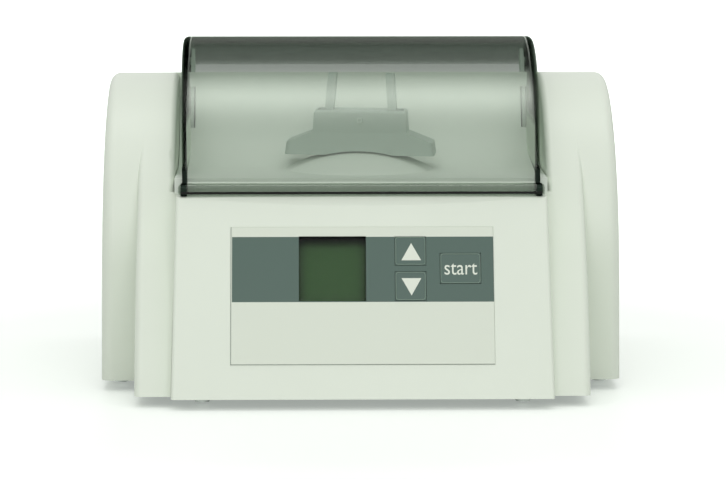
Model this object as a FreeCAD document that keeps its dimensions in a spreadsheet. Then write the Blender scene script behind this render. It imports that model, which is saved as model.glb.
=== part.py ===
import FreeCAD, Part
import Sketcher
import math
import os

# Dental capsule mixer: arched housing, smoked hinged lid, capsule fork on a wobble drive.
# Lengths in millimetres, angles in degrees. X to the right, Y to the back, Z up.
# Sub-parts are drawn about the centre line of the housing's arch, on the floor under it.

DRIVING = [
    # Housing
    ("case_width", 250.0), ("arch_radius", 87.0), ("arch_height", 60.0), ("foot_height", 5.0),
    ("wall", 3.0), ("seam", 0.3), ("cheek_draft", 1.5), ("cheek_round", 5.0), ("edge_round", 3.0),
    ("pillar_half", 107.0), ("pillar_reach", 135.0), ("pillar_join", 120.0), ("pillar_bow", 300.0),
    ("notch_low", 90.0), ("notch_shelf", 88.2), ("notch_top", 89.3), ("deck_front", 3.3),
    ("window_top", 80.0), ("window_front", 118.0), ("window_shoulder", 84.0),
    ("bulkhead_low", 106.0), ("boss_radius", 5.0), ("boss_height", 34.0),
    # Front cover
    ("front_reach", 144.0), ("face_lean", 22.3), ("shelf_height", 95.8), ("cover_depth", 84.0),
    ("scoop_drop", 4.4), ("scoop_depth", 1.2),
    # Control panel, measured up the sloping face
    ("panel_width", 123.5), ("panel_length", 66.6), ("panel_middle", 50.0), ("panel_thick", 0.8),
    ("panel_recess", 0.5), ("control_row", 63.0), ("window_size", 31.2), ("window_middle", -14.0),
    ("window_sink", 1.9), ("glass_thick", 1.2), ("key_width", 14.4), ("key_length", 13.8),
    ("arrow_middle", 22.7), ("arrow_spread", 17.1), ("start_width", 19.0), ("start_length", 14.6),
    ("start_middle", 46.2), ("key_gap", 0.2), ("key_travel", 0.5), ("key_lip", 1.2),
    # Control board
    ("board_drop", 16.0), ("board_width", 116.0), ("board_length", 62.0), ("board_thick", 1.6),
    ("switch_size", 6.0), ("switch_height", 4.5), ("ribbon_middle", 51.5), ("ribbon_width", 8.0),
    # Mixing chamber
    ("chamber_floor", 103.0), ("chamber_front", 91.0), ("cove_start", 44.0), ("neck_room", 7.0),
    # Lid
    ("lid_radius", 108.0), ("lid_centre", 57.0), ("lid_wall", 2.5), ("lid_half_low", 85.0),
    ("lid_half_high", 87.3), ("lid_back", 31.3), ("rim_reach", 107.0), ("rim_height", 5.4),
    ("rim_half", 86.8), ("lid_clearance", 3.0), ("cove_clearance", 6.2),
    # Lid hinge
    ("hinge_back", 48.0), ("hinge_height", 112.0), ("hinge_arm", 82.9), ("arm_thick", 1.8),
    ("arm_cover", 3.8), ("arm_broad", 10.0), ("lid_swing", 80.0), ("hinge_pin", 3.0),
    ("arm_start", 124.0), ("link_way", 18.0), ("stud_angle", 128.5), ("stud_radius", 2.0),
    ("stud_length", 1.9), ("magnet_radius", 2.5), ("magnet_thick", 0.8), ("clip_thick", 1.2),
    # Mixing drive
    ("shaft_front", 42.0), ("shaft_height", 38.0), ("skew", 5.0), ("rest_turn", 6.0),
    ("shaft_radius", 4.0), ("fit", 0.05), ("frame_thick", 3.0), ("mount_height", 3.5),
    ("frame_width", 64.0), ("motor_face", 34.0), ("motor_length", 60.0), ("motor_radius", 23.0),
    ("bearing_side", 30.0), ("bearing_radius", 11.0), ("bearing_width", 7.0),
    ("journal_radius", 6.0), ("ring_radius", 13.0), ("ring_width", 8.0), ("hub_radius", 18.0),
    ("hub_width", 12.0), ("neck_width", 12.0), ("flywheel_radius", 20.0), ("flywheel_thick", 8.0),
    # Capsule fork
    ("skirt_radius", 75.4), ("dome_gap", 1.0), ("brim_half", 36.5), ("brim_depth", 12.5),
    ("brim_low", 72.5), ("brim_high", 78.5), ("block_half", 23.0), ("block_depth", 11.0),
    ("block_low", 82.5), ("block_high", 94.0), ("arm_foot", 16.0), ("arm_top", 13.95),
    ("arm_width", 4.0), ("arm_depth", 12.0), ("arm_high", 112.0), ("arm_pivot", 86.5),
    ("pivot_radius", 1.2), ("cup_radius", 3.5),
    # Base and mains side
    ("base_thick", 3.0), ("foot_radius", 8.0), ("vent_width", 3.0), ("inlet_middle", 72.0),
    ("inlet_height", 34.0), ("inlet_width", 27.0), ("inlet_tall", 20.0), ("rocker_middle", 42.0),
    ("rocker_width", 13.0), ("rocker_tall", 19.0), ("rocker_throw", 20.0), ("rocker_sink", 6.0),
    ("guide_radius", 2.5), ("guide_height", 36.0), ("pin_height", 89.5), ("pin_radius", 1.5),
    ("pocket_width", 8.0), ("screw_radius", 1.5), ("screw_head", 2.8), ("motor_boss", 9.0),
    ("foot_peg", 3.0), ("foot_setback", 27.0), ("board_stand", 6.0), ("power_middle", 58.0),
    ("power_front", 22.0), ("power_width", 92.0), ("power_depth", 60.0),
    ("capacitor_left", 98.0), ("capacitor_back", 36.0), ("capacitor_radius", 15.0),
    ("capacitor_length", 52.0), ("core_width", 40.0), ("core_depth", 32.0), ("core_height", 33.0),
]

doc = FreeCAD.newDocument("CapsuleMixer")
sheet = doc.addObject("Spreadsheet::Sheet", "Sizes")
for row, (alias, number) in enumerate(DRIVING, 1):
    sheet.set(f"A{row}", alias)
    sheet.set(f"B{row}", str(number))
    sheet.setAlias(f"B{row}", alias)
doc.recompute()


class Size:
    """A length or angle: its formula in the sheet's names, and its present number."""

    def __init__(self, text, value):
        self.text = text
        self.value = value

    def __add__(self, other):
        return combine(self, "+", other)

    def __radd__(self, other):
        return combine(other, "+", self)

    def __sub__(self, other):
        return combine(self, "-", other)

    def __rsub__(self, other):
        return combine(other, "-", self)

    def __mul__(self, other):
        return combine(self, "*", other)

    def __rmul__(self, other):
        return combine(other, "*", self)

    def __truediv__(self, other):
        return combine(self, "/", other)

    def __neg__(self):
        return combine(0, "-", self)


def as_size(number):
    return number if isinstance(number, Size) else Size(repr(float(number)), float(number))


def combine(left, sign, right):
    left, right = as_size(left), as_size(right)
    value = {"+": left.value + right.value, "-": left.value - right.value,
             "*": left.value * right.value,
             "/": left.value / right.value if right.value else 0.0}[sign]
    return Size(f"({left.text} {sign} {right.text})", value)


def sine(angle):
    return Size(f"sin({angle.text})", math.sin(math.radians(angle.value)))


def cosine(angle):
    return Size(f"cos({angle.text})", math.cos(math.radians(angle.value)))


def root(number):
    return Size(f"sqrt({number.text})", math.sqrt(number.value))


class Sizes:
    """The driving sizes by name."""


for alias, _ in DRIVING:
    setattr(Sizes, alias, Size(f"Sizes.{alias}", float(sheet.get(alias))))
S = Sizes


# Helpers: each binds what it makes to the sheet

nodes = []
places = {}


def node(thing, label):
    """Name a finished sub-part and shift it from the arch's centre line to the middle of the case."""
    thing.Label = label
    x, y, z = places.get(thing.Name, (0, 0, 0))
    move(thing, x, y + origin_shift, z)
    nodes.append(thing)
    return thing


def bind(thing, **sizes):
    for prop, size in sizes.items():
        thing.setExpression(prop, as_size(size).text)
    return thing


def move(thing, x=0, y=0, z=0):
    places[thing.Name] = (x, y, z)
    for axis, size in zip("xyz", (x, y, z)):
        thing.setExpression(f"Placement.Base.{axis}", as_size(size).text)
    return thing


def turn(thing, axis, angle):
    """Turn about an axis through the sub-part's own origin, by an angle from the sheet."""
    base = thing.Placement.Base
    thing.Placement = FreeCAD.Placement(base, FreeCAD.Rotation(FreeCAD.Vector(*axis), 1.0))
    thing.setExpression("Placement.Rotation.Angle", as_size(angle).text)
    return thing


def box(x, y, z, width, depth, height, name="Block"):
    """Box from its low corner."""
    thing = bind(doc.addObject("Part::Box", name), Length=width, Width=depth, Height=height)
    return move(thing, x, y, z)


def middle_box(width, y, z, depth, height, x=0, name="Block"):
    """Box centred in X."""
    return box(x - as_size(width) / 2, y, z, width, depth, height, name)


AXES = {"X": ((0, 1, 0), 90), "Y": ((1, 0, 0), -90), "Z": None}


def cylinder(along, x, y, z, radius, length, name="Rod"):
    """Cylinder that starts at a point and runs the positive way along an axis."""
    thing = bind(doc.addObject("Part::Cylinder", name), Radius=radius, Height=length)
    if AXES[along]:
        turn(thing, *AXES[along])
    return move(thing, x, y, z)


def cone(along, x, y, z, start, end, length, name="Cone"):
    thing = bind(doc.addObject("Part::Cone", name), Radius1=start, Radius2=end, Height=length)
    if AXES[along]:
        turn(thing, *AXES[along])
    return move(thing, x, y, z)


def sphere(x, y, z, radius, name="Ball"):
    thing = bind(doc.addObject("Part::Sphere", name), Radius=radius)
    return move(thing, x, y, z)


def torus(x, y, z, radius, tube, name="Groove"):
    """Ring about the X axis."""
    thing = bind(doc.addObject("Part::Torus", name), Radius1=radius, Radius2=tube)
    turn(thing, (0, 1, 0), 90)
    return move(thing, x, y, z)


def fuse(*things, name="Joined"):
    thing = doc.addObject("Part::MultiFuse", name)
    thing.Shapes = list(things)
    thing.Refine = True
    return thing


def group(*things, name="Set"):
    """Separate solids of one sub-part."""
    thing = doc.addObject("Part::Compound", name)
    thing.Links = list(things)
    return thing


def common(first, second, name="Shared"):
    thing = doc.addObject("Part::MultiCommon", name)
    thing.Shapes = [first, second]
    return thing


def cut(base, *tools, name="Cut"):
    thing = doc.addObject("Part::Cut", name)
    thing.Base = base
    thing.Tool = tools[0] if len(tools) == 1 else fuse(*tools, name="Tools")
    return thing


def tube(along, x, y, z, outer, inner, length, name="Tube"):
    return cut(cylinder(along, x, y, z, outer, length),
               cylinder(along, x, y, z, inner, length), name=name)


def rounded(base, radius, wanted, name="Rounded"):
    """Round the edges of a Part feature that the test picks."""
    doc.recompute()
    edges = [i + 1 for i, edge in enumerate(base.Shape.Edges) if wanted(edge)]
    thing = doc.addObject("Part::Fillet", name)
    thing.Base = base
    thing.Edges = [(i, as_size(radius).value, as_size(radius).value) for i in edges]
    return thing


def point_on(edge):
    first, last = edge.ParameterRange
    return edge.valueAt((first + last) / 2)


def origin_plane(body, role):
    return [part for part in body.Origin.OriginFeatures if part.Role == role + "_Plane"][0]


def arc_between(start, end, radius):
    """Arc from start to end that turns left for a positive radius and right for a negative."""
    chord = end - start
    rise = math.sqrt(max(radius * radius - chord.Length * chord.Length / 4, 0.0))
    left = FreeCAD.Vector(-chord.y, chord.x, 0).normalize()
    centre = (start + end) * 0.5 + left * math.copysign(rise, radius)
    ends = (start, end) if radius > 0 else (end, start)
    angles = [math.atan2(point.y - centre.y, point.x - centre.x) for point in ends]
    circle = Part.Circle(centre, FreeCAD.Vector(0, 0, 1), abs(radius))
    return Part.ArcOfCircle(circle, *angles)


def draw(sketch, corners):
    """Closed outline whose every corner is tied to the sheet.

    A corner is (x, y), or (x, y, radius) where the stretch to the next corner is an arc."""
    sizes = [[as_size(part) for part in corner] for corner in corners]
    places = [FreeCAD.Vector(c[0].value, c[1].value, 0) for c in sizes]
    first = sketch.GeometryCount
    count = len(places)
    ends = []
    for i, corner in enumerate(sizes):
        start, end = places[i], places[(i + 1) % count]
        if len(corner) == 3:
            turn_left = corner[2].value > 0
            sketch.addGeometry(arc_between(start, end, corner[2].value))
            ends.append((1, 2) if turn_left else (2, 1))
            radius = corner[2] if turn_left else -corner[2]
            tie(sketch, Sketcher.Constraint("Radius", first + i, radius.value), radius)
        else:
            sketch.addGeometry(Part.LineSegment(start, end))
            ends.append((1, 2))
    for i, corner in enumerate(sizes):
        after = (i + 1) % count
        sketch.addConstraint(Sketcher.Constraint("Coincident", first + i, ends[i][1],
                                                 first + after, ends[after][0]))
        for way, size in zip("XY", corner):
            tie(sketch, Sketcher.Constraint(f"Distance{way}", -1, 1, first + i, ends[i][0],
                                            size.value), size)
    return sketch


def tie(sketch, constraint, size):
    index = sketch.addConstraint(constraint)
    sketch.setExpression(f"Constraints[{index}]", size.text)


def ring_mark(sketch, x, y, radius):
    """Round hole in a sketch."""
    x, y, radius = as_size(x), as_size(y), as_size(radius)
    centre = FreeCAD.Vector(x.value, y.value, 0)
    index = sketch.addGeometry(Part.Circle(centre, FreeCAD.Vector(0, 0, 1), radius.value))
    tie(sketch, Sketcher.Constraint("DistanceX", -1, 1, index, 3, x.value), x)
    tie(sketch, Sketcher.Constraint("DistanceY", -1, 1, index, 3, y.value), y)
    tie(sketch, Sketcher.Constraint("Radius", index, radius.value), radius)
    return sketch


def prism(plane, start, length, corners, holes=(), name="Body"):
    """Body padded from an outline. It starts at a distance along the plane's normal."""
    body = doc.addObject("PartDesign::Body", name)
    sketch = body.newObject("Sketcher::SketchObject", "Outline")
    sketch.AttachmentSupport = [(origin_plane(body, plane), "")]
    sketch.MapMode = "FlatFace"
    sketch.setExpression("AttachmentOffset.Base.z", as_size(start).text)
    draw(sketch, corners)
    for x, y, radius in holes:
        ring_mark(sketch, x, y, radius)
    pad = body.newObject("PartDesign::Pad", "Pad")
    pad.Profile = sketch
    bind(pad, Length=length)
    body.Tip = pad
    return body


def soften(body, radius, wanted):
    """Fillet edges of a body's last feature that the test picks."""
    doc.recompute()
    base = body.Tip
    names = [f"Edge{i + 1}" for i, edge in enumerate(base.Shape.Edges) if wanted(edge)]
    fillet = body.newObject("PartDesign::Fillet", "Round")
    fillet.Base = (base, names)
    bind(fillet, Radius=radius)
    body.Tip = fillet
    return body


def slot(x, y, length, width):
    """Corners of a round-ended slot that runs along the sketch's X."""
    x, y, r = as_size(x), as_size(y), as_size(width) / 2
    run = as_size(length) / 2 - r
    return [(x - run, y - r), (x + run, y - r, r), (x + run + r, y, r), (x + run, y + r),
            (x - run, y + r, r), (x - run - r, y, r)]


# Places worked out from the driving sizes

half_width = S.case_width / 2
crown = S.arch_height + S.arch_radius
inner_arch = S.arch_radius - S.wall
base_top = S.foot_height + S.base_thick
lean_sine, lean_cosine = sine(S.face_lean), cosine(S.face_lean)
face_length = (S.shelf_height - S.foot_height) / lean_cosine
shelf_front = S.front_reach - face_length * lean_sine
shaft_y = -S.shaft_front
dome_radius = S.skirt_radius - S.dome_gap
slack = S.seam
hinge_drop = crown - S.seam - S.hinge_height
arm_sweep = (root(S.hinge_back * S.hinge_back + hinge_drop * hinge_drop)
             - S.arm_broad / 2 - S.arm_cover)
origin_shift = (S.front_reach - S.arch_radius) / 2


def arch(radius):
    """Half-round arch with straight legs down to the floor, in Y and Z."""
    top = S.arch_height + radius
    return [(-radius, S.foot_height), (radius, S.foot_height), (radius, S.arch_height, radius),
            (0, top, radius), (-radius, S.arch_height)]


def on_face(thing, across, up, out):
    """Lay a sub-part on the sloping face: X across, Y up the slope, Z out of it."""
    turn(thing, (1, 0, 0), 90 - S.face_lean)
    up, out = as_size(up), as_size(out)
    return move(thing, across, -S.front_reach + up * lean_sine - out * lean_cosine,
                S.foot_height + up * lean_cosine + out * lean_sine)


def tilt(thing):
    """Set a piece of the wobbling arm, drawn upright about the wobble centre, to its rest angle."""
    turn(thing, (0, 0, 1), -S.skew)
    thing.setExpression("Placement.Rotation.Axis.x", "0")
    thing.setExpression("Placement.Rotation.Axis.y", (-sine(S.rest_turn)).text)
    thing.setExpression("Placement.Rotation.Axis.z", cosine(S.rest_turn).text)
    return move(thing, 0, shaft_y, S.shaft_height)


# Housing: two arched cheeks with a step in front of each, and the deck between them

def pillar_outline(inset):
    """Front step of a cheek: a bowed front that meets the arch near its shoulder."""
    join = S.pillar_join - inset
    reach = root(S.arch_radius * S.arch_radius
                 - (S.pillar_join - S.arch_height) * (S.pillar_join - S.arch_height)) - inset
    return [(-S.pillar_reach + inset, S.foot_height), (0, S.foot_height), (0, join),
            (-reach, join, S.pillar_bow)]


def pillar(side, inner, outer, inset, name):
    start = inner if side > 0 else -outer
    return prism("YZ", start, outer - inner, pillar_outline(inset), name=name)


def notch_outline(gap):
    """Opening between the cheeks, seen from the front: it widens a little above the shelf."""
    low, shelf, top = S.notch_low - gap, S.notch_shelf - gap, S.notch_top - gap
    floor, roof = S.foot_height - 10, crown + 20
    return [(-low, floor), (low, floor), (shelf, S.shelf_height), (top, S.shelf_height),
            (top, roof), (-top, roof), (-top, S.shelf_height), (-shelf, S.shelf_height)]


def upper_housing():
    barrel = prism("YZ", -half_width, S.case_width, arch(S.arch_radius), name="Barrel")
    slope = half_width - S.cheek_draft
    tall = crown + 10
    draft = prism("XZ", -S.arch_radius - 1, S.arch_radius * 2 + 2,
                  [(-half_width, 0), (half_width, 0), (slope, tall), (-slope, tall)], name="Draft")
    barrel = rounded(common(barrel, draft, "Drafted"), S.cheek_round,
                     lambda edge: abs(point_on(edge).x) > half_width.value - 2 * S.cheek_draft.value
                     and point_on(edge).z > S.foot_height.value + 1)
    steps = [soften(pillar(side, S.notch_low - 5, S.pillar_half, 0, "Step"), S.edge_round,
                    lambda edge: abs(abs(point_on(edge).x) - S.pillar_half.value) < 0.01
                    and point_on(edge).y < -60
                    and S.foot_height.value + 1 < point_on(edge).z < S.pillar_join.value - 1)
             for side in (-1, 1)]
    outer = fuse(barrel, *steps, name="OuterForm")
    notch = prism("XZ", -S.deck_front, S.front_reach + 20 + S.deck_front, notch_outline(0),
                  name="Notch")
    outer = cut(outer, notch, name="OuterNotched")
    outer = rounded(outer, S.edge_round, notch_edge)

    hollows = []
    cheek_out = half_width - S.cheek_draft - S.wall
    for side in (-1, 1):
        inner = S.notch_low + S.wall
        start = inner if side > 0 else -cheek_out
        hollow = prism("YZ", start, cheek_out - inner, arch(inner_arch), name="CheekHollow")
        outward = cheek_out.value
        hollows.append(soften(hollow, S.cheek_round - S.wall,
                              lambda edge: abs(abs(point_on(edge).x) - outward) < 0.01
                              and point_on(edge).z > S.foot_height.value + 1))
        hollows.append(pillar(side, inner, S.pillar_half - S.wall, S.wall, "StepHollow"))
        window = [(-S.window_front, 0), (inner_arch, 0), (inner_arch, S.window_top),
                  (-S.window_shoulder, S.window_top)]
        start = S.notch_shelf - 2 if side > 0 else -(S.notch_low + S.wall + 1)
        hollows.append(prism("YZ", start, S.notch_low + S.wall + 3 - S.notch_shelf, window,
                             name="SideWindow"))
    back = box(-S.notch_low, S.deck_front + S.wall, 0, S.notch_low * 2,
               S.arch_radius, crown + 5, "DeckSpace")
    deck_arch = prism("YZ", -S.notch_low, S.notch_low * 2, arch(inner_arch), name="DeckArch")
    hollows.append(common(back, deck_arch, "DeckHollow"))
    hollows.append(middle_box(S.notch_low * 2, S.deck_front - 1, 0, S.wall + 2, S.bulkhead_low,
                              name="BulkheadWay"))
    hollows += [hinge_bore(side) for side in (-1, 1)]
    hollows += [arm_slot(side) for side in (-1, 1)]
    hollows += rear_cutouts() + rear_vents()
    hollows.append(base_relief(S.notch_low + S.wall + 1))
    shell = cut(outer, *hollows, name="Shell")
    posts = [post(x, y) for x, y in housing_posts()]
    return node(fuse(shell, *posts, name="UpperHousing"), "upper_housing")


def notch_edge(edge):
    """Edges where the cheeks' inner sides meet their arched tops, above the shelf."""
    place = point_on(edge)
    beside = abs(abs(place.x) - S.notch_top.value) < 0.01
    return beside and place.y < S.deck_front.value - 1 and place.z > S.shelf_height.value + 1


def housing_posts():
    """Screw posts of the upper housing, one near each corner."""
    x = half_width - S.cheek_draft - S.wall - S.boss_radius + 0.6
    y = inner_arch - S.boss_radius - 9
    return [(x * side_x, y * side_y) for side_x in (-1, 1) for side_y in (-1, 1)]


def post(x, y, low=None):
    """Screw post with a pilot hole, standing clear of the base plate."""
    low = base_top + slack if low is None else low
    return tube("Z", x, y, low, S.boss_radius, S.boss_radius / 2 - 1, S.boss_height, "Post")


def hinge_bore(side):
    length = S.wall * 3
    start = S.notch_low - S.wall if side > 0 else -S.notch_low - S.wall * 2
    return cylinder("X", start, S.hinge_back, S.hinge_height, S.hinge_pin + S.fit, length, "HingeBore")


def sweep_ring(low, high, x, width):
    """Flat ring about the lid's hinge line."""
    return tube("X", x, S.hinge_back, S.hinge_height, high, low, width, "SweepRing")


def arm_slot(side):
    """Way for a lid arm through the deck: the arm slides along its own arc."""
    gap = S.seam * 2
    width = S.arm_thick + gap * 2
    x = S.hinge_arm * side - width / 2
    ring = sweep_ring(arm_sweep - S.arm_broad / 2 - gap, arm_sweep + S.arm_broad / 2 + gap, x, width)
    front = box(x, -S.hinge_back, S.hinge_height + 5, width, S.hinge_back * 2, crown - S.hinge_height)
    link = box(x, S.deck_front - 1, S.bulkhead_low - 1, width, S.wall + 2,
               S.hinge_height + S.link_way - S.bulkhead_low + 1, "LinkWay")
    return fuse(common(ring, front, "RingWay"), link, name="ArmSlot")


def cut_slit(side):
    """Slit in the chamber's back wall, where a lid arm comes through it."""
    width = S.arm_thick + S.seam * 4
    low = S.hinge_height + S.arm_broad * 0.8
    return middle_box(width, -S.cove_start / 2, low, S.cove_start / 2 + S.wall,
                      hinge_drop * 0.4, S.hinge_arm * side, "ArmSlit")


def rear_cutouts():
    """Openings in the rear wall for the mains inlet and the power switch."""
    back = S.arch_radius - S.wall - 3
    inlet = middle_box(S.inlet_width + slack * 2, back, S.inlet_height - S.inlet_tall / 2 - slack, 10,
                       S.inlet_tall + slack * 2, S.inlet_middle, "InletHole")
    switch = middle_box(S.rocker_width + slack * 2, back, S.inlet_height - S.rocker_tall / 2 - slack, 10,
                        S.rocker_tall + slack * 2, S.rocker_middle, "SwitchHole")
    return [inlet, switch]


def rear_vents():
    """Upright air slots in the rear wall beside the motor."""
    return [box(-88 + 9 * index, S.arch_radius - S.wall - 1, S.inlet_height - 12, S.vent_width,
                S.wall + 2, 34, "VentSlot") for index in range(8)]


def base_relief(half):
    """Room for the base plate under the inner walls."""
    return middle_box(half * 2, -base_middle, 0, base_middle + base_back, base_top + slack,
                      name="BaseRelief")


# Outline of the base plate, inside the walls of the housing and the front cover

inset = S.wall + S.seam
base_side, base_back = half_width - S.cheek_draft - inset, S.arch_radius - inset
base_step, base_middle = S.pillar_half - inset, S.pillar_reach - inset - 1.5
base_tongue = S.notch_shelf - inset - S.seam
base_front = (S.front_reach - S.wall / lean_cosine
              - S.base_thick * lean_sine / lean_cosine - S.seam)


# Front cover: sloping control face and the shelf that the lid closes on

def face_box(across, up, width, length, low, high, name="FaceBlock"):
    """Block that lies along the sloping face, from its middle, between two heights out of it."""
    width, length, low, high = [as_size(size) for size in (width, length, low, high)]
    thing = bind(doc.addObject("Part::Box", name), Length=width, Width=length, Height=high - low)
    return on_face(thing, across - width / 2, up - length / 2, low)


def face_rod(across, up, radius, low, high, name="FaceRod"):
    low, high = as_size(low), as_size(high)
    thing = bind(doc.addObject("Part::Cylinder", name), Radius=radius, Height=high - low)
    return on_face(thing, across, up, low)


def board_corners():
    """Places of the four board screws on the face."""
    x, up = S.board_width / 2 - 5, S.board_length / 2 - 4.5
    return [(x * side_x, S.panel_middle + up * side_y) for side_x in (-1, 1) for side_y in (-1, 1)]


KEYS = [("up_key", S.arrow_middle, S.control_row + S.arrow_spread / 2, S.key_width, S.key_length),
        ("down_key", S.arrow_middle, S.control_row - S.arrow_spread / 2, S.key_width, S.key_length),
        ("start_key", S.start_middle, S.control_row, S.start_width, S.start_length)]


def panel_openings(gap, low, high):
    """Cutters for the display and the keys."""
    cutters = [face_box(S.window_middle, S.control_row, S.window_size + gap * 2,
                        S.window_size + gap * 2, low, high)]
    cutters += [face_box(x, up, width + gap * 2, length + gap * 2, low, high)
                for _, x, up, width, length in KEYS]
    return cutters


def front_cover():
    side = [(-S.front_reach, S.foot_height), (-S.cover_depth, S.foot_height),
            (-S.cover_depth, S.shelf_height), (-shelf_front, S.shelf_height)]
    outer = prism("YZ", -S.notch_low - 5, S.notch_low * 2 + 10, side, name="CoverSide")
    width = prism("XZ", S.cover_depth - 5, S.front_reach, notch_outline(S.seam), name="CoverWidth")
    outer = rounded(common(outer, width, "CoverForm"), S.edge_round / 2, cover_edge)
    slope = lean_sine / lean_cosine
    front = S.front_reach - S.wall / lean_cosine
    roof = S.shelf_height - S.wall
    inside = [(-front - slope, S.foot_height - 1), (-S.cover_depth + 1, S.foot_height - 1),
              (-S.cover_depth + 1, roof), (-front + (roof - S.foot_height) * slope, roof)]
    half = S.notch_shelf - S.seam - S.wall
    shell = cut(outer, prism("YZ", -half, half * 2, inside, name="CoverHollow"), name="CoverShell")
    pegs = [face_rod(x, up, S.boss_radius - 1.5, -S.board_drop, -S.wall / 2)
            for x, up in board_corners()]
    posts = [cylinder("Z", x, y, base_top + slack, S.boss_radius, S.boss_height - 8)
             for x, y in cover_posts()]
    keep = prism("YZ", -half, half * 2, side, name="CoverKeep")
    body = fuse(shell, common(fuse(*posts), keep, "CoverPosts"), *pegs, name="CoverBody")
    radius = (half * half + S.scoop_drop * S.scoop_drop) / (S.scoop_drop * 2)
    scoop = bind(doc.addObject("Part::Cone", "Scoop"), Radius1=radius - S.scoop_drop,
                 Radius2=radius, Height=S.scoop_depth)
    on_face(scoop, 0, face_length - S.scoop_drop + radius, -S.scoop_depth)
    tools = panel_openings(S.key_gap, -S.wall * 2, 1)
    tools.append(face_box(0, S.panel_middle, S.panel_width + S.seam, S.panel_length + S.seam,
                          -S.panel_recess, 1))
    tools += [face_rod(x, up, S.screw_radius, -S.board_drop - 1, -S.wall) for x, up in board_corners()]
    tools += [cylinder("Z", x, y, 0, S.screw_radius, S.boss_height - 12) for x, y in cover_posts()]
    tools += [scoop, cover_relief(-1), cover_relief(1)]
    return node(cut(body, *tools, name="FrontCover"), "front_cover")


def cover_relief(side):
    """Side walls stop above the base plate behind the pillars' fronts."""
    x = S.notch_shelf - S.wall * 2 if side > 0 else -S.notch_low
    return box(x, -base_middle, 0, S.notch_low - S.notch_shelf + S.wall * 2,
               base_middle, base_top + slack, "CoverRelief")


def cover_edge(edge):
    """The face's two side edges and its top edge."""
    place = point_on(edge)
    beside = abs(place.x) > S.notch_shelf.value - 1 and edge.Length > 90
    sloping = beside and place.y < -shelf_front.value - 5
    top = edge.Length > 150 and abs(place.y + shelf_front.value) < 0.1
    return sloping or top


def cover_posts():
    x, y = S.notch_shelf - S.wall - S.boss_radius - 5, S.front_reach - S.wall - 10
    return [(x, -y), (-x, -y)]


def membrane_panel():
    low, high = -S.panel_recess, S.panel_thick - S.panel_recess
    sheet_form = face_box(0, S.panel_middle, S.panel_width, S.panel_length, low, high)
    panel = cut(sheet_form, *panel_openings(S.key_gap, low - 1, high + 1), name="MembranePanel")
    return node(panel, "membrane_panel")


def display_parts():
    glass_low = -S.window_sink - S.glass_thick
    node(face_box(S.window_middle, S.control_row, S.window_size, S.window_size, glass_low,
                  -S.window_sink, "DisplayWindow"), "display_window")
    case = face_box(S.window_middle, S.control_row, S.window_size + 7, S.window_size + 6,
                    -S.board_drop, -S.wall - slack)
    core = face_box(S.window_middle, S.control_row, S.window_size - 1, S.window_size - 1,
                    -S.wall - 1, glass_low)
    node(fuse(case, core, name="DisplayModule"), "display_module")


def keys():
    """Three push keys, each with a lip behind the face and a stem over its switch."""
    switch_top = -S.board_drop + S.switch_height
    for label, x, up, width, length in KEYS:
        lip_top = -S.wall - slack
        cap = face_box(x, up, width, length, lip_top - 0.5, S.panel_thick - S.panel_recess + 0.1)
        cap = rounded(cap, 0.5, lambda edge: edge.Length < 5)
        lip = face_box(x, up, width + 2, length + 2, lip_top - S.key_lip, lip_top)
        stem = face_rod(x, up, 2.5, switch_top + S.key_travel + 0.1, lip_top - S.key_lip / 2)
        node(fuse(cap, lip, stem, name="Key"), label)
    switches = []
    for _, x, up, _, _ in KEYS:
        case = face_box(x, up, S.switch_size, S.switch_size, -S.board_drop, switch_top - 1)
        button = face_rod(x, up, S.switch_size / 3.4, switch_top - 1.5, switch_top)
        switches.append(fuse(case, button, name="KeySwitch"))
    node(group(*switches, name="KeySwitches"), "key_switches")


def control_board():
    low = -S.board_drop - S.board_thick
    board = face_box(0, S.panel_middle, S.board_width, S.board_length, low, -S.board_drop)
    holes = [face_rod(x, up, S.screw_radius + 0.1, low - 1, 1 - S.board_drop)
             for x, up in board_corners()]
    node(cut(board, *holes, name="ControlBoard"), "control_board")
    chips = [face_box(-14, S.panel_middle + 5, 20, 12, low - 3, low),
             face_box(20, S.panel_middle + 14, 10, 8, low - 2.5, low),
             face_rod(40, S.panel_middle + 10, 4, low - 9, low),
             face_rod(40, S.panel_middle - 8, 4, low - 9, low),
             face_box(S.ribbon_middle, ribbon_start, S.ribbon_width + 4, 6, low - 8, low)]
    node(group(*chips, name="BoardParts"), "board_parts")


ribbon_start = S.panel_middle - 20


# Mixing chamber: raised floor, dome over the drive and the coved back wall

def mixing_chamber():
    top = crown - S.seam
    rise = top - S.chamber_floor
    cove = (S.cove_start * S.cove_start + rise * rise) / (rise * 2)
    under = S.chamber_floor - S.wall
    lip = S.chamber_front - S.wall
    end_y = S.cove_start * S.wall / cove
    end_z = top + (rise - cove) * S.wall / cove
    side = [(-S.chamber_front, S.chamber_floor), (-S.cove_start, S.chamber_floor, cove), (0, top),
            (end_y, end_z, -(cove + S.wall)), (-S.cove_start, under), (-lip, under),
            (-lip, S.shelf_height), (-S.chamber_front, S.shelf_height)]
    half = S.notch_top - S.seam
    tub = prism("YZ", -half, half * 2, side, name="Tub")
    reach = dome_radius
    keep = middle_box(reach * 2, shaft_y - reach, under, reach * 2, reach, name="DomeKeep")
    dome = common(sphere(0, shaft_y, S.shaft_height, dome_radius), keep, "Dome")
    inside = sphere(0, shaft_y, S.shaft_height, dome_radius - S.wall)
    sway = S.skirt_radius * sine(S.skew)
    way = slot(0, shaft_y, S.neck_width + sway * 2 + S.neck_room, S.neck_width + 5)
    opening = prism("XY", S.chamber_floor, S.skirt_radius / 2, way, name="NeckWay")
    slits = [cut_slit(side) for side in (-1, 1)]
    body = cut(fuse(tub, dome, name="TubBody"), inside, opening, arm_slot(-1), arm_slot(1), *slits,
               name="MixingChamber")
    return node(body, "mixing_chamber")


# Lid: smoked shell with end walls, rim bar and the two arms that carry it

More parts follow.
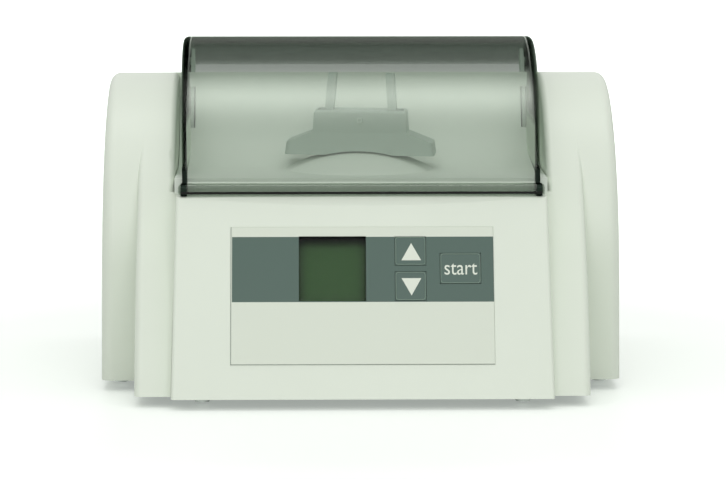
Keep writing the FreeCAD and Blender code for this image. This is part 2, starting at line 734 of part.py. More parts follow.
def lid_width(gap):
    """Front view of the lid: a little wider at the crown than at the rim."""
    low, high = S.lid_half_low - gap, S.lid_half_high - gap
    foot, roof = S.shelf_height, S.lid_centre + S.lid_radius
    return [(-low, foot), (low, foot), (high, roof), (-high, roof)]


def lid():
    top = crown - S.seam
    rise = top - S.chamber_floor
    cove = (S.cove_start * S.cove_start + rise * rise) / (rise * 2)
    gap, cove_gap = S.lid_clearance, S.cove_clearance
    near = cove - cove_gap
    foot = S.shelf_height + S.seam
    front = root(S.lid_radius * S.lid_radius
                 - (foot - S.lid_centre) * (foot - S.lid_centre))
    over = S.arch_radius + gap
    back_sine, back_cosine = sine(S.lid_back), cosine(S.lid_back)
    lip = S.chamber_front + gap / 2
    side = [(-front, foot, -S.lid_radius),
            (S.lid_radius * back_sine, S.lid_centre + S.lid_radius * back_cosine),
            (over * back_sine, S.arch_height + over * back_cosine, over),
            (0, S.arch_height + over),
            (-S.cove_start + near * S.cove_start / cove,
             S.chamber_floor + cove + near * (rise - cove) / cove, -near),
            (-S.cove_start, S.chamber_floor + cove_gap), (-lip, S.chamber_floor + gap),
            (-lip, foot)]
    outer = prism("YZ", -S.lid_half_high, S.lid_half_high * 2, side, name="LidSide")
    width = prism("XZ", -S.lid_radius, S.lid_radius * 2, lid_width(0), name="LidWidth")
    outer = rounded(common(outer, width, "LidForm"), S.lid_wall, lid_edge)
    inner = S.lid_radius - S.lid_wall
    drum = cylinder("X", -S.lid_radius, 0, S.lid_centre, inner, S.lid_radius * 2)
    width = prism("XZ", -S.lid_radius, S.lid_radius * 2, lid_width(S.lid_wall), name="LidRoom")
    studs = [arm_stud(side, S.fit) for side in (-1, 1)]
    shell = cut(outer, common(drum, width, "LidHollow"), *studs, name="LidShell")
    depth = S.rim_reach - front + S.lid_wall
    bar = rounded(middle_box(S.rim_half * 2, -S.rim_reach, foot, depth, S.rim_height), 1.6,
                  lambda edge: point_on(edge).y < -S.rim_reach.value + depth.value - 1)
    return node(fuse(shell, bar, name="Lid"), "lid")


def lid_edge(edge):
    """Curved edges along the lid's two sides."""
    place = point_on(edge)
    reach = math.hypot(place.y, place.z - S.lid_centre.value)
    return (abs(reach - S.lid_radius.value) < 0.1 and edge.Length > 20
            and abs(place.x) > S.lid_half_low.value - 1)


def on_sweep(angle):
    """Y and Z of a place on the lid arms' arc."""
    return (S.hinge_back + arm_sweep * cosine(angle),
            S.hinge_height + arm_sweep * sine(angle))


def arm_stud(side, gap):
    """Stud that joins a lid arm to the lid's end wall."""
    y, z = on_sweep(S.stud_angle)
    face = S.hinge_arm + S.arm_thick / 2 - 1
    length = S.stud_length + 1 + gap
    start = face if side > 0 else -face - length
    return cylinder("X", start, y, z, S.stud_radius + gap, length, "ArmStud")


def magnet_disc(gap):
    """Place of the magnet in the right lid arm's outer face."""
    y, z = on_sweep(S.lid_swing + 132)
    depth = S.magnet_thick + gap * 2
    face = S.hinge_arm + S.arm_thick / 2 - depth
    return cylinder("X", face + gap, y, z, S.magnet_radius + gap, depth, "MagnetDisc")


def lid_arm(side, label):
    """Curved arm that slides through the deck, and its link to the hinge."""
    outer, inner = arm_sweep + S.arm_broad / 2, arm_sweep - S.arm_broad / 2
    start, end = S.arm_start, S.lid_swing + 150
    broad = S.arm_broad

    def at(radius, angle, aside=0):
        y = S.hinge_back + radius * cosine(angle) - aside * sine(angle)
        return y, S.hinge_height + radius * sine(angle) + aside * cosine(angle)

    corners = [at(outer, start) + (outer,), at(outer, end), at(0, end, broad / 2),
               at(0, end, -broad / 2), at(inner, end - 10) + (-inner,), at(inner, start)]
    x = S.hinge_arm * side - S.arm_thick / 2
    plate = prism("YZ", x, S.arm_thick, corners, name="ArmPlate")
    eye = cylinder("X", x, S.hinge_back, S.hinge_height, S.arm_broad * 0.8, S.arm_thick)
    bore = cylinder("X", x - 1, S.hinge_back, S.hinge_height, S.hinge_pin + S.fit, S.arm_thick + 2)
    tools = [bore] if side < 0 else [bore, magnet_disc(S.fit)]
    stud = arm_stud(side, as_size(0))
    return node(cut(fuse(plate, eye, stud), *tools, name="LidArm"), label)


def hinge_parts():
    reach = S.notch_low + S.wall - S.seam
    node(cylinder("X", -reach, S.hinge_back, S.hinge_height, S.hinge_pin, reach * 2, "HingeShaft"),
         "hinge_shaft")
    clips = []
    for side in (-1, 1):
        inside = S.hinge_arm - S.arm_thick / 2 - S.seam
        x = inside - S.clip_thick if side > 0 else -inside
        clips.append(tube("X", x, S.hinge_back, S.hinge_height, S.hinge_pin * 1.9,
                          S.hinge_pin + S.fit, S.clip_thick))
    node(group(*clips, name="HingeClips"), "hinge_clips")
    node(magnet_disc(as_size(0)), "lid_magnet")
    _, z = on_sweep(S.lid_swing + 132)
    face = S.hinge_arm + S.arm_thick / 2
    node(box(face + 1.5, S.deck_front + S.wall + 0.3, z - 5, S.notch_low - face - 1.5, 8, 10,
             "LidSensor"), "lid_sensor")


# Mixing drive: motor, skewed journal and the bearing beyond it

def drive_x(label, x, radius, length, bore=None, name="DrivePart"):
    """Round drive part on the shaft line."""
    if bore is None:
        thing = cylinder("X", x, shaft_y, S.shaft_height, radius, length, name)
    else:
        thing = tube("X", x, shaft_y, S.shaft_height, radius, bore, length, name)
    return node(thing, label) if label else thing


frame_low = base_top + S.mount_height
frame_top = frame_low + S.frame_thick


def frame_corners():
    x_left, x_right = -S.motor_face - 18, S.bearing_side + 9
    y = S.frame_width / 2 - 7
    return [(x, shaft_y + y * side) for x in (x_left, x_right) for side in (-1, 1)]


def drive_frame():
    """Bent steel frame: a floor on rubber mounts, and two uprights."""
    left, right = -S.motor_face - 28, S.bearing_side + 16
    low_y = shaft_y - S.frame_width / 2
    floor = box(left, low_y, frame_low, right - left, S.frame_width, S.frame_thick)
    tall = S.shaft_height + S.guide_height + S.guide_radius + 4
    plates = []
    for x in (-S.motor_face, S.bearing_side):
        half = S.frame_width / 2 - 6
        brow = guide_side() + S.guide_radius + 4
        outline = [(shaft_y - half, frame_low), (shaft_y + half, frame_low),
                   (shaft_y + half, S.shaft_height), (shaft_y + brow, tall),
                   (shaft_y - brow, tall), (shaft_y - half, S.shaft_height)]
        plates.append(prism("YZ", x, S.frame_thick, outline, name="Upright"))
    seat = drive_x(None, S.bearing_side, S.bearing_radius + 4, S.bearing_width + 2)
    body = fuse(floor, *plates, seat, name="FrameBody")
    tools = [drive_x(None, -S.motor_face - 1, S.motor_boss + 0.2, S.frame_thick + 2),
             drive_x(None, S.bearing_side - 1, S.shaft_radius + 3, S.frame_thick),
             drive_x(None, S.bearing_side + 2, S.bearing_radius + S.fit, S.bearing_width + 1)]
    tools += [cylinder("Z", x, y, frame_low - 1, 2.2, S.frame_thick + 2) for x, y in frame_corners()]
    tools += [guide_rod(side, S.fit) for side in (-1, 1)]
    tools += [cylinder("X", -S.motor_face - 1, y, z, S.screw_radius + 0.2, S.frame_thick + 2)
              for y, z in motor_screw_places()]
    return node(cut(body, *tools, name="DriveFrame"), "drive_frame")


def guide_side():
    """Middle of a guide rod from the neck's middle: it clears the neck as that yaws."""
    sweep = S.neck_width / 2 * (cosine(S.skew) + sine(S.skew))
    return sweep + S.guide_radius + S.seam * 1.5


def guide_rod(side, gap):
    """Rod beside the mixing arm's neck: it keeps the arm from turning with the shaft."""
    start = -S.motor_face - 2
    return cylinder("X", start, shaft_y + guide_side() * side, S.shaft_height + S.guide_height,
                    S.guide_radius + gap, S.bearing_side + S.frame_thick + 2 - start, "GuideRod")


def motor_screw_places():
    reach = S.motor_radius - 6
    return [(shaft_y + reach * math.cos(math.radians(angle)),
             S.shaft_height + reach * math.sin(math.radians(angle))) for angle in (45, 135, 225, 315)]


def mounts_and_screws():
    rubber = [tube("Z", x, y, base_top, 7, 2.2, S.mount_height) for x, y in frame_corners()]
    node(group(*rubber, name="RubberMounts"), "rubber_mounts")
    screws = [fuse(cylinder("Z", x, y, frame_top, 4, 2.4),
                   cylinder("Z", x, y, S.foot_height + 0.5, 2.0, frame_top - S.foot_height))
              for x, y in frame_corners()]
    node(group(*screws, name="MountScrews"), "mount_screws")
    screws = [fuse(cylinder("X", S.frame_thick - S.motor_face, y, z, S.screw_head, 1.8),
                   cylinder("X", -S.motor_face - 2.2, y, z, S.screw_radius, S.frame_thick + 3))
              for y, z in motor_screw_places()]
    node(group(*screws, name="MotorScrews"), "motor_screws")
    node(group(*[guide_rod(side, as_size(0)) for side in (-1, 1)], name="GuideRods"), "guide_rods")


def motor():
    face, length = -S.motor_face, S.motor_length
    can = drive_x(None, face - length, S.motor_radius, length)
    room = drive_x(None, face - length - 1, S.motor_radius - 2, length - 2)
    boss = drive_x(None, face - 3, S.motor_boss, S.frame_thick + 3)
    tools = [room, drive_x(None, face - 4, S.shaft_radius + 2, S.frame_thick + 6)]
    tools += [cylinder("X", face - 4, y, z, S.screw_radius + S.fit, 5) for y, z in motor_screw_places()]
    tools += [middle_box(length * 0.5, shaft_y - S.motor_radius - 1, S.shaft_height + place * 8 - 1.5,
                         S.motor_radius * 2 + 2, 3, x=face - length / 2) for place in (-1, 0, 1)]
    node(cut(fuse(can, boss), *tools, name="MotorCan"), "motor_can")
    cap = drive_x(None, face - length - 4, S.motor_radius, 4)
    spigot = drive_x(None, face - length - 1, S.motor_radius - 2 - S.fit, 4)
    bore = drive_x(None, face - length - 5, S.shaft_radius + 2, 10)
    node(cut(fuse(cap, spigot), bore, name="MotorCap"), "motor_cap")
    bushes = [drive_x(None, face - 3, S.shaft_radius + 2 - S.fit, S.frame_thick + 3,
                      S.shaft_radius + S.fit),
              drive_x(None, face - length - 4, S.shaft_radius + 2 - S.fit, 7, S.shaft_radius + S.fit)]
    node(group(*bushes, name="MotorBushes"), "motor_bushes")
    core = length * 0.6
    start = face - length / 2 - core / 2
    drive_x("stator", start, S.motor_radius - 2 - S.fit, core, S.motor_radius - 5, "Stator")
    drive_x("rotor", start, S.motor_radius - 5.5, core, S.shaft_radius + S.fit / 2, "Rotor")


def shaft_parts():
    left = -S.motor_face - S.motor_length - 16
    right = S.bearing_side + S.bearing_width + 5
    drive_x("motor_shaft", left, S.shaft_radius, right - left, name="MotorShaft")
    bore = drive_x(None, -S.motor_face, S.shaft_radius + S.fit / 2, S.motor_face * 2)
    journal = tilted_rod(S.journal_radius, -S.hub_width / 2 - 0.5, S.hub_width + 3)
    collar = tilted_rod(S.journal_radius + 2, -S.hub_width / 2 - 2.5, 2)
    sleeve = drive_x(None, S.hub_width / 2 + 1, S.journal_radius - 0.2, S.hub_width / 2 + 1)
    grub = cylinder("Z", S.hub_width - 1, shaft_y, S.shaft_height, 1.5, 12)
    node(cut(fuse(journal, collar, sleeve), bore, grub, name="SkewSleeve"), "skew_sleeve")
    nut = tilted_rod(S.journal_radius + 2, S.ring_width / 2 + 0.1, 1.6)
    hole = tilted_rod(S.journal_radius + S.fit, -S.hub_width, S.hub_width * 2)
    node(cut(nut, hole, name="RetainingRing"), "retaining_ring")
    wheel = S.hub_width + 6
    disc = drive_x(None, wheel, S.flywheel_radius, S.flywheel_thick)
    hub = drive_x(None, wheel - 2, S.shaft_radius + 4, S.flywheel_thick + 3)
    spin = drive_x(None, wheel - 5, S.shaft_radius + S.fit / 2, S.flywheel_thick + 10)
    holes = [cylinder("X", wheel - 1, shaft_y + y, S.shaft_height + S.flywheel_radius * 0.62, 3,
                      S.flywheel_thick + 2) for y in (-8, 0, 8)]
    node(cut(fuse(disc, hub), spin, *holes, name="Flywheel"), "flywheel")
    ring_x = S.bearing_side + 2
    rings = [drive_x(None, ring_x, S.bearing_radius, S.bearing_width, S.bearing_radius - 2),
             drive_x(None, ring_x, S.bearing_radius - 2.2, S.bearing_width,
                     S.shaft_radius + S.fit)]
    node(group(*rings, name="OutboardBearing"), "outboard_bearing")
    fan_x = -S.motor_face - S.motor_length - 13
    hub = drive_x(None, fan_x, 8, 8)
    plate = drive_x(None, fan_x, S.motor_radius - 4, 1.5)
    blades = []
    for index in range(8):
        blade = bind(doc.addObject("Part::Box", "Blade"), Length=8, Width=1.6,
                     Height=S.motor_radius - 5)
        turn(blade, (1, 0, 0), 45 * index)
        blades.append(move(blade, fan_x, shaft_y, S.shaft_height))
    node(cut(fuse(hub, plate, *blades), drive_x(None, fan_x - 1, S.shaft_radius + S.fit / 2, 12),
             name="CoolingFan"), "cooling_fan")


def tilted_rod(radius, start, length):
    """Rod along the skewed axis, drawn about the wobble centre and set to its rest angle."""
    rod = cylinder("X", start, 0, 0, radius, length, "SkewRod")
    return tilt(fuse_one(rod))


def fuse_one(thing):
    """Hold a placed primitive so that the whole can be turned again."""
    held = doc.addObject("Part::Compound", "Held")
    held.Links = [thing]
    return held


# Mixing arm, drawn upright about the wobble centre, then set to its rest angle

def arm_node(thing, label):
    return node(tilt(thing), label)


def mixing_arm():
    bearing = S.ring_width
    mid = (S.journal_radius + S.ring_radius) / 2 + 0.3
    race = torus(0, 0, 0, mid, 1.9)
    inner = tube_local(S.journal_radius + 2.6, S.journal_radius + S.fit, bearing)
    node(tilt(cut(inner, race, name="BearingInner")), "bearing_inner_ring")
    race = torus(0, 0, 0, mid, 1.9)
    outer = tube_local(S.ring_radius - S.fit, S.ring_radius - 2.2, bearing)
    arm_node(cut(outer, race, name="BearingOuter"), "bearing_outer_ring")
    balls = []
    for index in range(7):
        angle = as_size(360.0 / 7 * index)
        balls.append(sphere(0, mid * cosine(angle), mid * sine(angle), 1.8))
    arm_node(group(*balls, name="BearingBalls"), "bearing_balls")
    hub = cylinder("X", -S.hub_width / 2, 0, 0, S.hub_radius, S.hub_width)
    half = S.neck_width / 2
    neck_top = S.block_high - 1.5
    foot = half + 3
    outline = [(-foot, S.ring_radius + 1), (foot, S.ring_radius + 1), (half, S.hub_radius + 14),
               (half, neck_top), (-half, neck_top), (-half, S.hub_radius + 14)]
    neck = prism("XZ", -half, S.neck_width, outline, name="Neck")
    bore = cylinder("X", -S.hub_width, 0, 0, S.ring_radius, S.hub_width * 2)
    pin = cylinder("Y", 0, -S.block_depth - 1, S.pin_height, S.pin_radius + S.fit, S.block_depth * 2 + 2)
    arm_node(cut(fuse(hub, neck), bore, pin, name="MixingArm"), "mixing_arm")


def tube_local(outer, inner, length):
    return cut(cylinder("X", -length / 2, 0, 0, outer, length),
               cylinder("X", -length, 0, 0, inner, length * 2))


def capsule_carrier():
    """Block with a flared brim that rides over the dome."""
    top = S.block_half - 0.7
    face = [(-S.block_half, S.block_low), (S.block_half, S.block_low), (top, S.block_high),
            (-top, S.block_high)]
    block = prism("XZ", -S.block_depth, S.block_depth * 2, face, name="CarrierBlock")
    block = soften(block, 1.2, lambda edge: point_on(edge).z > S.block_high.value - 0.1)
    brim = flare()
    body = fuse(block, brim, name="CarrierBody")
    tools = [sphere(0, 0, 0, S.skirt_radius),
             middle_box(S.neck_width + 0.3, -(S.neck_width + 0.3) / 2, 0, S.neck_width + 0.3,
                        S.block_high - 1.2),
             cylinder("Y", 0, -S.block_depth - 1, S.pin_height, S.pin_radius + S.fit,
                      S.block_depth * 2 + 2)]
    for side in (-1, 1):
        tools.append(arm_pocket(side))
        tools.append(cylinder("Y", S.arm_foot * side, -S.block_depth + 2, S.arm_pivot,
                              S.pivot_radius, S.block_depth * 2))
    arm_node(cut(body, *tools, name="CapsuleCarrier"), "capsule_carrier")
    pin = fuse(cylinder("Y", 0, -S.block_depth - 0.6, S.pin_height, S.pin_radius, S.block_depth * 2),
               cylinder("Y", 0, -S.block_depth - 0.8, S.pin_height, S.pin_radius, 1))
    arm_node(pin, "carrier_pin")


def arm_pocket(side):
    """Room for one clamp arm, its outward swing and the pad that closes it."""
    inner = S.arm_foot - S.arm_width / 2 - S.seam * 3
    x = inner if side > 0 else -inner - S.pocket_width
    depth = S.arm_depth + 0.8
    return box(x, -depth / 2, S.arm_pivot - 3.2, S.pocket_width, depth, 30)


def flare():
    """Brim around the block, wider and lower towards its edge."""
    half, depth = S.brim_half, S.brim_depth
    low, high = S.brim_low, S.brim_high
    front = [(-half, low), (half, low), (half - 0.8, high), (S.block_half, S.block_low + 1),
             (-S.block_half, S.block_low + 1), (-half + 0.8, high)]
    across = [(-depth, low), (depth, low), (depth - 0.8, high), (S.block_depth, S.block_low + 1),
              (-S.block_depth, S.block_low + 1), (-depth + 0.8, high)]
    first = prism("XZ", -depth - 1, depth * 2 + 2, front, name="BrimFront")
    second = prism("YZ", -half - 1, half * 2 + 2, across, name="BrimSide")
    brim = common(first, second, "Brim")
    return rounded(brim, 2.5, lambda edge: edge.Length < 12 and abs(point_on(edge).x)
                   > S.brim_half.value - 2 and abs(point_on(edge).y) > S.brim_depth.value - 2)


def clamp_arm(side, label):
    """Sprung arm with a round cup near its top for one end of the capsule."""
    foot, top = S.arm_foot * side, S.arm_top * side
    half = S.arm_width / 2
    outline = [(foot - half, S.arm_pivot), (foot + half, S.arm_pivot), (top + half, S.arm_high),
               (top - half, S.arm_high)]
    plate = prism("XZ", -S.arm_depth / 2, S.arm_depth, outline, name="ArmPlate")
    plate = soften(plate, S.arm_depth / 2 - 1, lambda edge: point_on(edge).z > S.arm_high.value - 0.1
                   and abs(point_on(edge).y) > S.arm_depth.value / 2 - 0.1)
    eye = cylinder("Y", foot, -S.arm_depth / 2, S.arm_pivot, half, S.arm_depth)
    bore = cylinder("Y", foot, -S.arm_depth, S.arm_pivot, S.pivot_radius + S.fit, S.arm_depth * 2)
    cup = cylinder("X", top - 6, 0, S.arm_high - 6, S.cup_radius, 12)
    arm_node(cut(fuse(plate, eye), bore, cup, name="ClampArm"), label)


def clamp_details():
    pins, pads = [], []
    for side in (-1, 1):
        x = S.arm_foot * side
        pins.append(cylinder("Y", x, -S.block_depth + 2, S.arm_pivot, S.pivot_radius,
                             S.block_depth * 2 - 2))
        outer = S.arm_foot - S.arm_width / 2 - S.seam * 3 + S.pocket_width
        inner = outer - 2.2
        start = inner if side > 0 else -outer
        pads.append(cylinder("X", start, 0, S.arm_pivot + 4, 2.2, outer - inner))
    arm_node(group(*pins, name="ClampPins"), "clamp_pins")
    arm_node(group(*pads, name="ClampPads"), "clamp_pads")


# Base plate, feet and screws

def base_plate():
    x1, x2, x3 = base_side, base_step, base_tongue
    y_back, y1, y2, y3 = base_back, base_back, base_middle, base_front
    snip = S.cheek_round - S.wall
    right = [(x3, -y3), (x3, -y2), (x2, -y2), (x2, -y1), (x1 - snip, -y1), (x1, -y1 + snip),
             (x1, y_back - snip), (x1 - snip, y_back)]
    outline = right + [(-x, y) for x, y in reversed(right)]
    holes = [(x, y, 2.2) for x, y in frame_corners()]
    holes += [(x, y, S.screw_radius + 0.4) for x, y in housing_posts() + cover_posts()]
    holes += [(x, y, S.foot_peg + 0.1) for x, y in foot_places()]
    plate = prism("XY", S.foot_height, S.base_thick, outline, holes, name="BasePlate")
    vents = [box(-95 + 9 * index, shaft_y - 22, 0, S.vent_width, 44, 20) for index in range(4)]
    studs = [tube("Z", x, y, S.foot_height, 3.5, S.screw_radius, S.board_stand + S.base_thick)
             for x, y in power_corners()]
    bores = [cylinder("Z", x, y, 0, S.screw_radius, 30) for x, y in power_corners()]
    node(cut(fuse(plate, *studs), *vents, *bores, name="BaseTray"), "base_plate")


def foot_places():
    return [(base_side - 24, base_back - 14), (-(base_side - 24), base_back - 14),
            (base_step - 26, S.foot_setback - base_middle),
            (-(base_step - 26), S.foot_setback - base_middle)]


def rubber_feet():
    feet = []
    for x, y in foot_places():
        pad = cone("Z", x, y, 0, S.foot_radius - 1, S.foot_radius, S.foot_height)
        peg = cylinder("Z", x, y, S.foot_height - 1, S.foot_peg, S.base_thick + 2)
        feet.append(fuse(pad, peg, name="Foot"))
    node(group(*feet, name="RubberFeet"), "rubber_feet")


def case_screws():
    screws = []
    for x, y in housing_posts() + cover_posts():
        head = cylinder("Z", x, y, S.foot_height - 2.2, S.screw_head + 0.8, 2.2)
        shank = cylinder("Z", x, y, S.foot_height - 1, S.screw_radius - S.fit, S.base_thick + 14)
        screws.append(fuse(head, shank, name="CaseScrew"))
    node(group(*screws, name="CaseScrews"), "case_screws")


# Mains side: board, transformer, capacitor, inlet and switch


def power_corners():
    x, y = S.power_width / 2 - 5, S.power_depth / 2 - 5
    return [(S.power_middle + x * side_x, S.power_front + y * side_y)
            for side_x in (-1, 1) for side_y in (-1, 1)]


def power_parts():
    low = base_top + S.board_stand
    board = box(S.power_middle - S.power_width / 2, S.power_front - S.power_depth / 2, low, S.power_width,
                S.power_depth, S.board_thick)
    holes = [cylinder("Z", x, y, low - 1, S.screw_radius + 0.1, 5) for x, y in power_corners()]
    node(cut(board, *holes, name="PowerBoard"), "power_board")
    top = low + S.board_thick
    core_x, core_y = S.power_middle + 6, S.power_front + 2
    half = S.core_depth / 2
    leg = S.core_width * 0.175
    core = middle_box(S.core_width, core_y - half, top, S.core_depth, S.core_height, core_x)
    ways = [middle_box(leg, core_y - half - 1, top + leg, S.core_depth + 2, S.core_height - leg * 2,
                       core_x + S.core_width * 0.25 * side) for side in (-1, 1)]
    node(cut(core, *ways, name="TransformerCore"), "transformer_core")
    gap = S.seam * 2 / 3
    coil = middle_box(S.core_width * 0.675 - gap * 2, core_y - half - 6, top + leg + gap,
                      S.core_depth + 12, S.core_height - leg * 2 - gap * 2, core_x)
    hole = middle_box(S.core_width * 0.325 + gap * 2, core_y - half - gap, top,
                      S.core_depth + gap * 2, S.core_height + leg, core_x)
    node(cut(coil, hole, name="TransformerCoil"), "transformer_coil")
    parts = [box(S.power_middle + 29, S.power_front - 16, top, 14, 18, 12),
             box(S.power_middle + 29, S.power_front + 6, top, 14, 8, 10),
             box(S.power_middle - 38, S.power_front - 14, top, 16, 6, 22),
             cylinder("Z", S.power_middle - 30, S.power_front + 6, top, 6, 16),
             box(S.ribbon_middle - S.ribbon_width / 2 - 2, S.power_front - S.power_depth / 2 + 1, top,
                 S.ribbon_width + 4, 6, 8)]
    node(group(*parts, name="PowerComponents"), "power_components")
    rise = base_top + S.capacitor_radius + 2.3
    left, back = -S.capacitor_left, S.capacitor_back
    node(cylinder("X", left, back, rise, S.capacitor_radius, S.capacitor_length, "Capacitor"),
         "motor_capacitor")
    wide = S.capacitor_radius + 1.5
    seat = box(left + S.capacitor_length / 3, back - wide, base_top, 14, wide * 2, rise - base_top + 2.7)
    room = cylinder("X", left, back, rise, S.capacitor_radius + slack, S.capacitor_length)
    node(cut(seat, room, name="CapacitorClip"), "capacitor_clip")


def board_screws():
    """Screws of the control board and of the power board."""
    low = -S.board_drop - S.board_thick
    screws = [fuse(face_rod(x, up, S.screw_head, low - 2, low),
                   face_rod(x, up, S.screw_radius - S.fit, low - 1, -S.wall - 1))
              for x, up in board_corners()]
    top = base_top + S.board_stand + S.board_thick
    screws += [fuse(cylinder("Z", x, y, top, S.screw_head, 2),
                    cylinder("Z", x, y, base_top, S.screw_radius - S.fit, S.board_stand + 3))
               for x, y in power_corners()]
    node(group(*screws, name="BoardScrews"), "board_screws")


def ribbon_cable():
    """Flat cable from the control board, along the base plate, to the power board."""
    drop = S.board_drop + S.board_thick + 8.4
    y1 = -S.front_reach + ribbon_start * lean_sine + drop * lean_cosine
    z1 = S.foot_height + ribbon_start * lean_cosine - drop * lean_sine
    low = base_top + 1
    y4, z4 = S.power_front - S.power_depth / 2 + 0.7, base_top + S.board_stand + S.board_thick + 3
    strip = [(y1, z1, 16), (y1 + 11, low), (y4 - 13, low, 16), (y4, z4), (y4, z4 + 1, -15),
             (y4 - 13, low + 1), (y1 + 11, low + 1, -15), (y1 + 1, z1 + 0.4)]
    start = S.ribbon_middle - S.ribbon_width / 2
    node(prism("YZ", start, S.ribbon_width, strip, name="Ribbon"), "ribbon_cable")


def mains_inlet():
    back = S.arch_radius
    low = S.inlet_height - S.inlet_tall / 2
    body = middle_box(S.inlet_width, back - 22, low, 22, S.inlet_tall, S.inlet_middle)
    room = middle_box(S.inlet_width - 4, back - 17, low + 2, 18, S.inlet_tall - 4, S.inlet_middle)
    pin_holes = [middle_box(2, back - 30, z - 2, 14, 4, S.inlet_middle + x) for x, z in inlet_pins()]
    node(cut(body, room, *pin_holes, name="MainsInlet"), "mains_inlet")
    pins = [middle_box(2, back - 27, z - 2, 22, 4, S.inlet_middle + x) for x, z in inlet_pins()]
    node(group(*pins, name="InletPins"), "inlet_pins")


def inlet_pins():
    return [(-7, S.inlet_height - 2), (0, S.inlet_height + 2), (7, S.inlet_height - 2)]


def power_switch():
    back, x, z = S.arch_radius, S.rocker_middle, S.inlet_height
    low = z - S.rocker_tall / 2
    body = middle_box(S.rocker_width, back - 20, low, 20, S.rocker_tall, x)
    room = middle_box(S.rocker_width - 2.4, back - 12, low + 1.2, 13, S.rocker_tall - 2.4, x)
    pivot = cylinder("X", x - S.rocker_width, back - S.rocker_sink, z, 1.0 + S.fit, S.rocker_width * 2)
    node(cut(body, room, pivot, name="SwitchBody"), "power_switch_body")
    half = S.rocker_tall / 2 - 2.4
    lean = sine(S.rocker_throw / 2) / cosine(S.rocker_throw / 2) * half
    flat = back - 2
    outline = [(flat - 6, z - half + 2), (flat - 6, z + half - 2), (flat - lean * 2, z + half),
               (flat, z), (flat, z - half)]
    rocker = prism("YZ", x - S.rocker_width / 2 + 1.5, S.rocker_width - 3, outline, name="RockerForm")
    pins = cylinder("X", x - S.rocker_width / 2 + 0.3, back - S.rocker_sink, z, 1.0, S.rocker_width - 0.6)
    node(fuse(rocker, pins, name="PowerRocker"), "power_rocker")


def finish():
    """Shift, rebuild, check and write every sub-part."""
    doc.recompute()
    for thing in doc.Objects:
        if "Invalid" in thing.State or "Error" in thing.State:
            raise RuntimeError(f"{thing.Label} failed: {thing.State}")
    os.makedirs("parts", exist_ok=True)
    for thing in nodes:
        shape = thing.Shape
        if shape.isNull() or not shape.isValid() or not shape.Solids:
            raise RuntimeError(f"{thing.Label} has no valid solid")
        shape.exportStep(f"parts/{thing.Label}.step")
        print(thing.Label, len(shape.Solids), round(shape.Volume), shape.BoundBox)


upper_housing()
front_cover()
membrane_panel()
display_parts()
keys()
control_board()
mixing_chamber()
lid()
lid_arm(-1, "lid_arm_left")
lid_arm(1, "lid_arm_right")
hinge_parts()
drive_frame()
mounts_and_screws()
motor()
shaft_parts()
mixing_arm()
capsule_carrier()
clamp_arm(-1, "clamp_arm_left")
clamp_arm(1, "clamp_arm_right")
clamp_details()
base_plate()
rubber_feet()
case_screws()
power_parts()
board_screws()
ribbon_cable()
mains_inlet()
power_switch()
finish()
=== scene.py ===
# %% [markdown]
# # A capsule mixer, dressed on its CAD frame
# The object is a bench-top mixer that shakes dental capsules: a pale moulded case between two
# arched cheeks, a smoked lid over a mixing chamber, and a sloping front with a display and keys.
# Its exact solids come from the CAD model. This script gives every solid a procedural finish,
# adds the pieces that are too fine for CAD, and lights the whole like a product photograph.

# %% Load the frame
import math

import bmesh
import bpy
from mathutils import Matrix, Vector
from mathutils.bvhtree import BVHTree


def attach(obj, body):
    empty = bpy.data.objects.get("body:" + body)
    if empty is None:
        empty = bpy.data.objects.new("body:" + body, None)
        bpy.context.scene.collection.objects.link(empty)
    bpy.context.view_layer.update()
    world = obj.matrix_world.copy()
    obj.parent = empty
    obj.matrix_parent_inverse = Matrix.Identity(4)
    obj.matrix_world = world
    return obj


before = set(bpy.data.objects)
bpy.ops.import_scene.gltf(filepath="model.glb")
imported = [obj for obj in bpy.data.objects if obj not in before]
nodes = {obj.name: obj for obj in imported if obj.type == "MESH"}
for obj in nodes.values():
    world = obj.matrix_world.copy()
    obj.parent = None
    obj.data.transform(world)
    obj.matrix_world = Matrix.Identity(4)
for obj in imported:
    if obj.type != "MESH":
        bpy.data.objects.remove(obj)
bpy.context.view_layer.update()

# %% [markdown]
# ## The camera
# A photograph's perspective can be measured: straight edges of the case gave the distance, the
# height and the small turn of the camera. A long lens (174 mm) from 1.7 m keeps the cheeks nearly
# parallel. Setting numbers is better here than aiming by eye, since every later comparison of the
# render with the photograph depends on them.

# %% Place the camera
lens = bpy.data.cameras.new("photo_lens")
lens.lens, lens.sensor_width = 174.1, 36.0
lens.clip_end = 50.0
camera = bpy.data.objects.new("photo_camera", lens)
camera.location = (-0.0282, -1.7283, 0.2744)
camera.rotation_euler = (math.radians(83.12), 0.0, math.radians(-1.0))
bpy.context.scene.collection.objects.link(camera)
bpy.context.scene.camera = camera
print("camera at", tuple(camera.location), "lens", lens.lens)

# %% [markdown]
# ## Places on the sloping face
# The display, the keys and their print lie on a face that leans back by 22 degrees. Working in
# that face's own directions (across, up the slope, out of it) is easier than working in the room's,
# and one small function turns a place on the face into a place in the room.

# %% Directions of the face
FACE_UP = Vector((0.0, 0.3795, 0.9252))
FACE_OUT = Vector((0.0, -0.9252, 0.3795))
FACE_FOOT = Vector((0.0, -0.1155, 0.005))
KEY_TOP = 0.0004
UP_KEY, DOWN_KEY, START_KEY = (0.0227, 0.07155), (0.0227, 0.05445), (0.0462, 0.063)


def on_face(across, up, out=0.0):
    """Place on the sloping face, in metres in the room."""
    return Vector((across, 0.0, 0.0)) + FACE_FOOT + FACE_UP * up + FACE_OUT * out


print("middle of the display", tuple(round(v, 4) for v in on_face(-0.014, 0.063)))

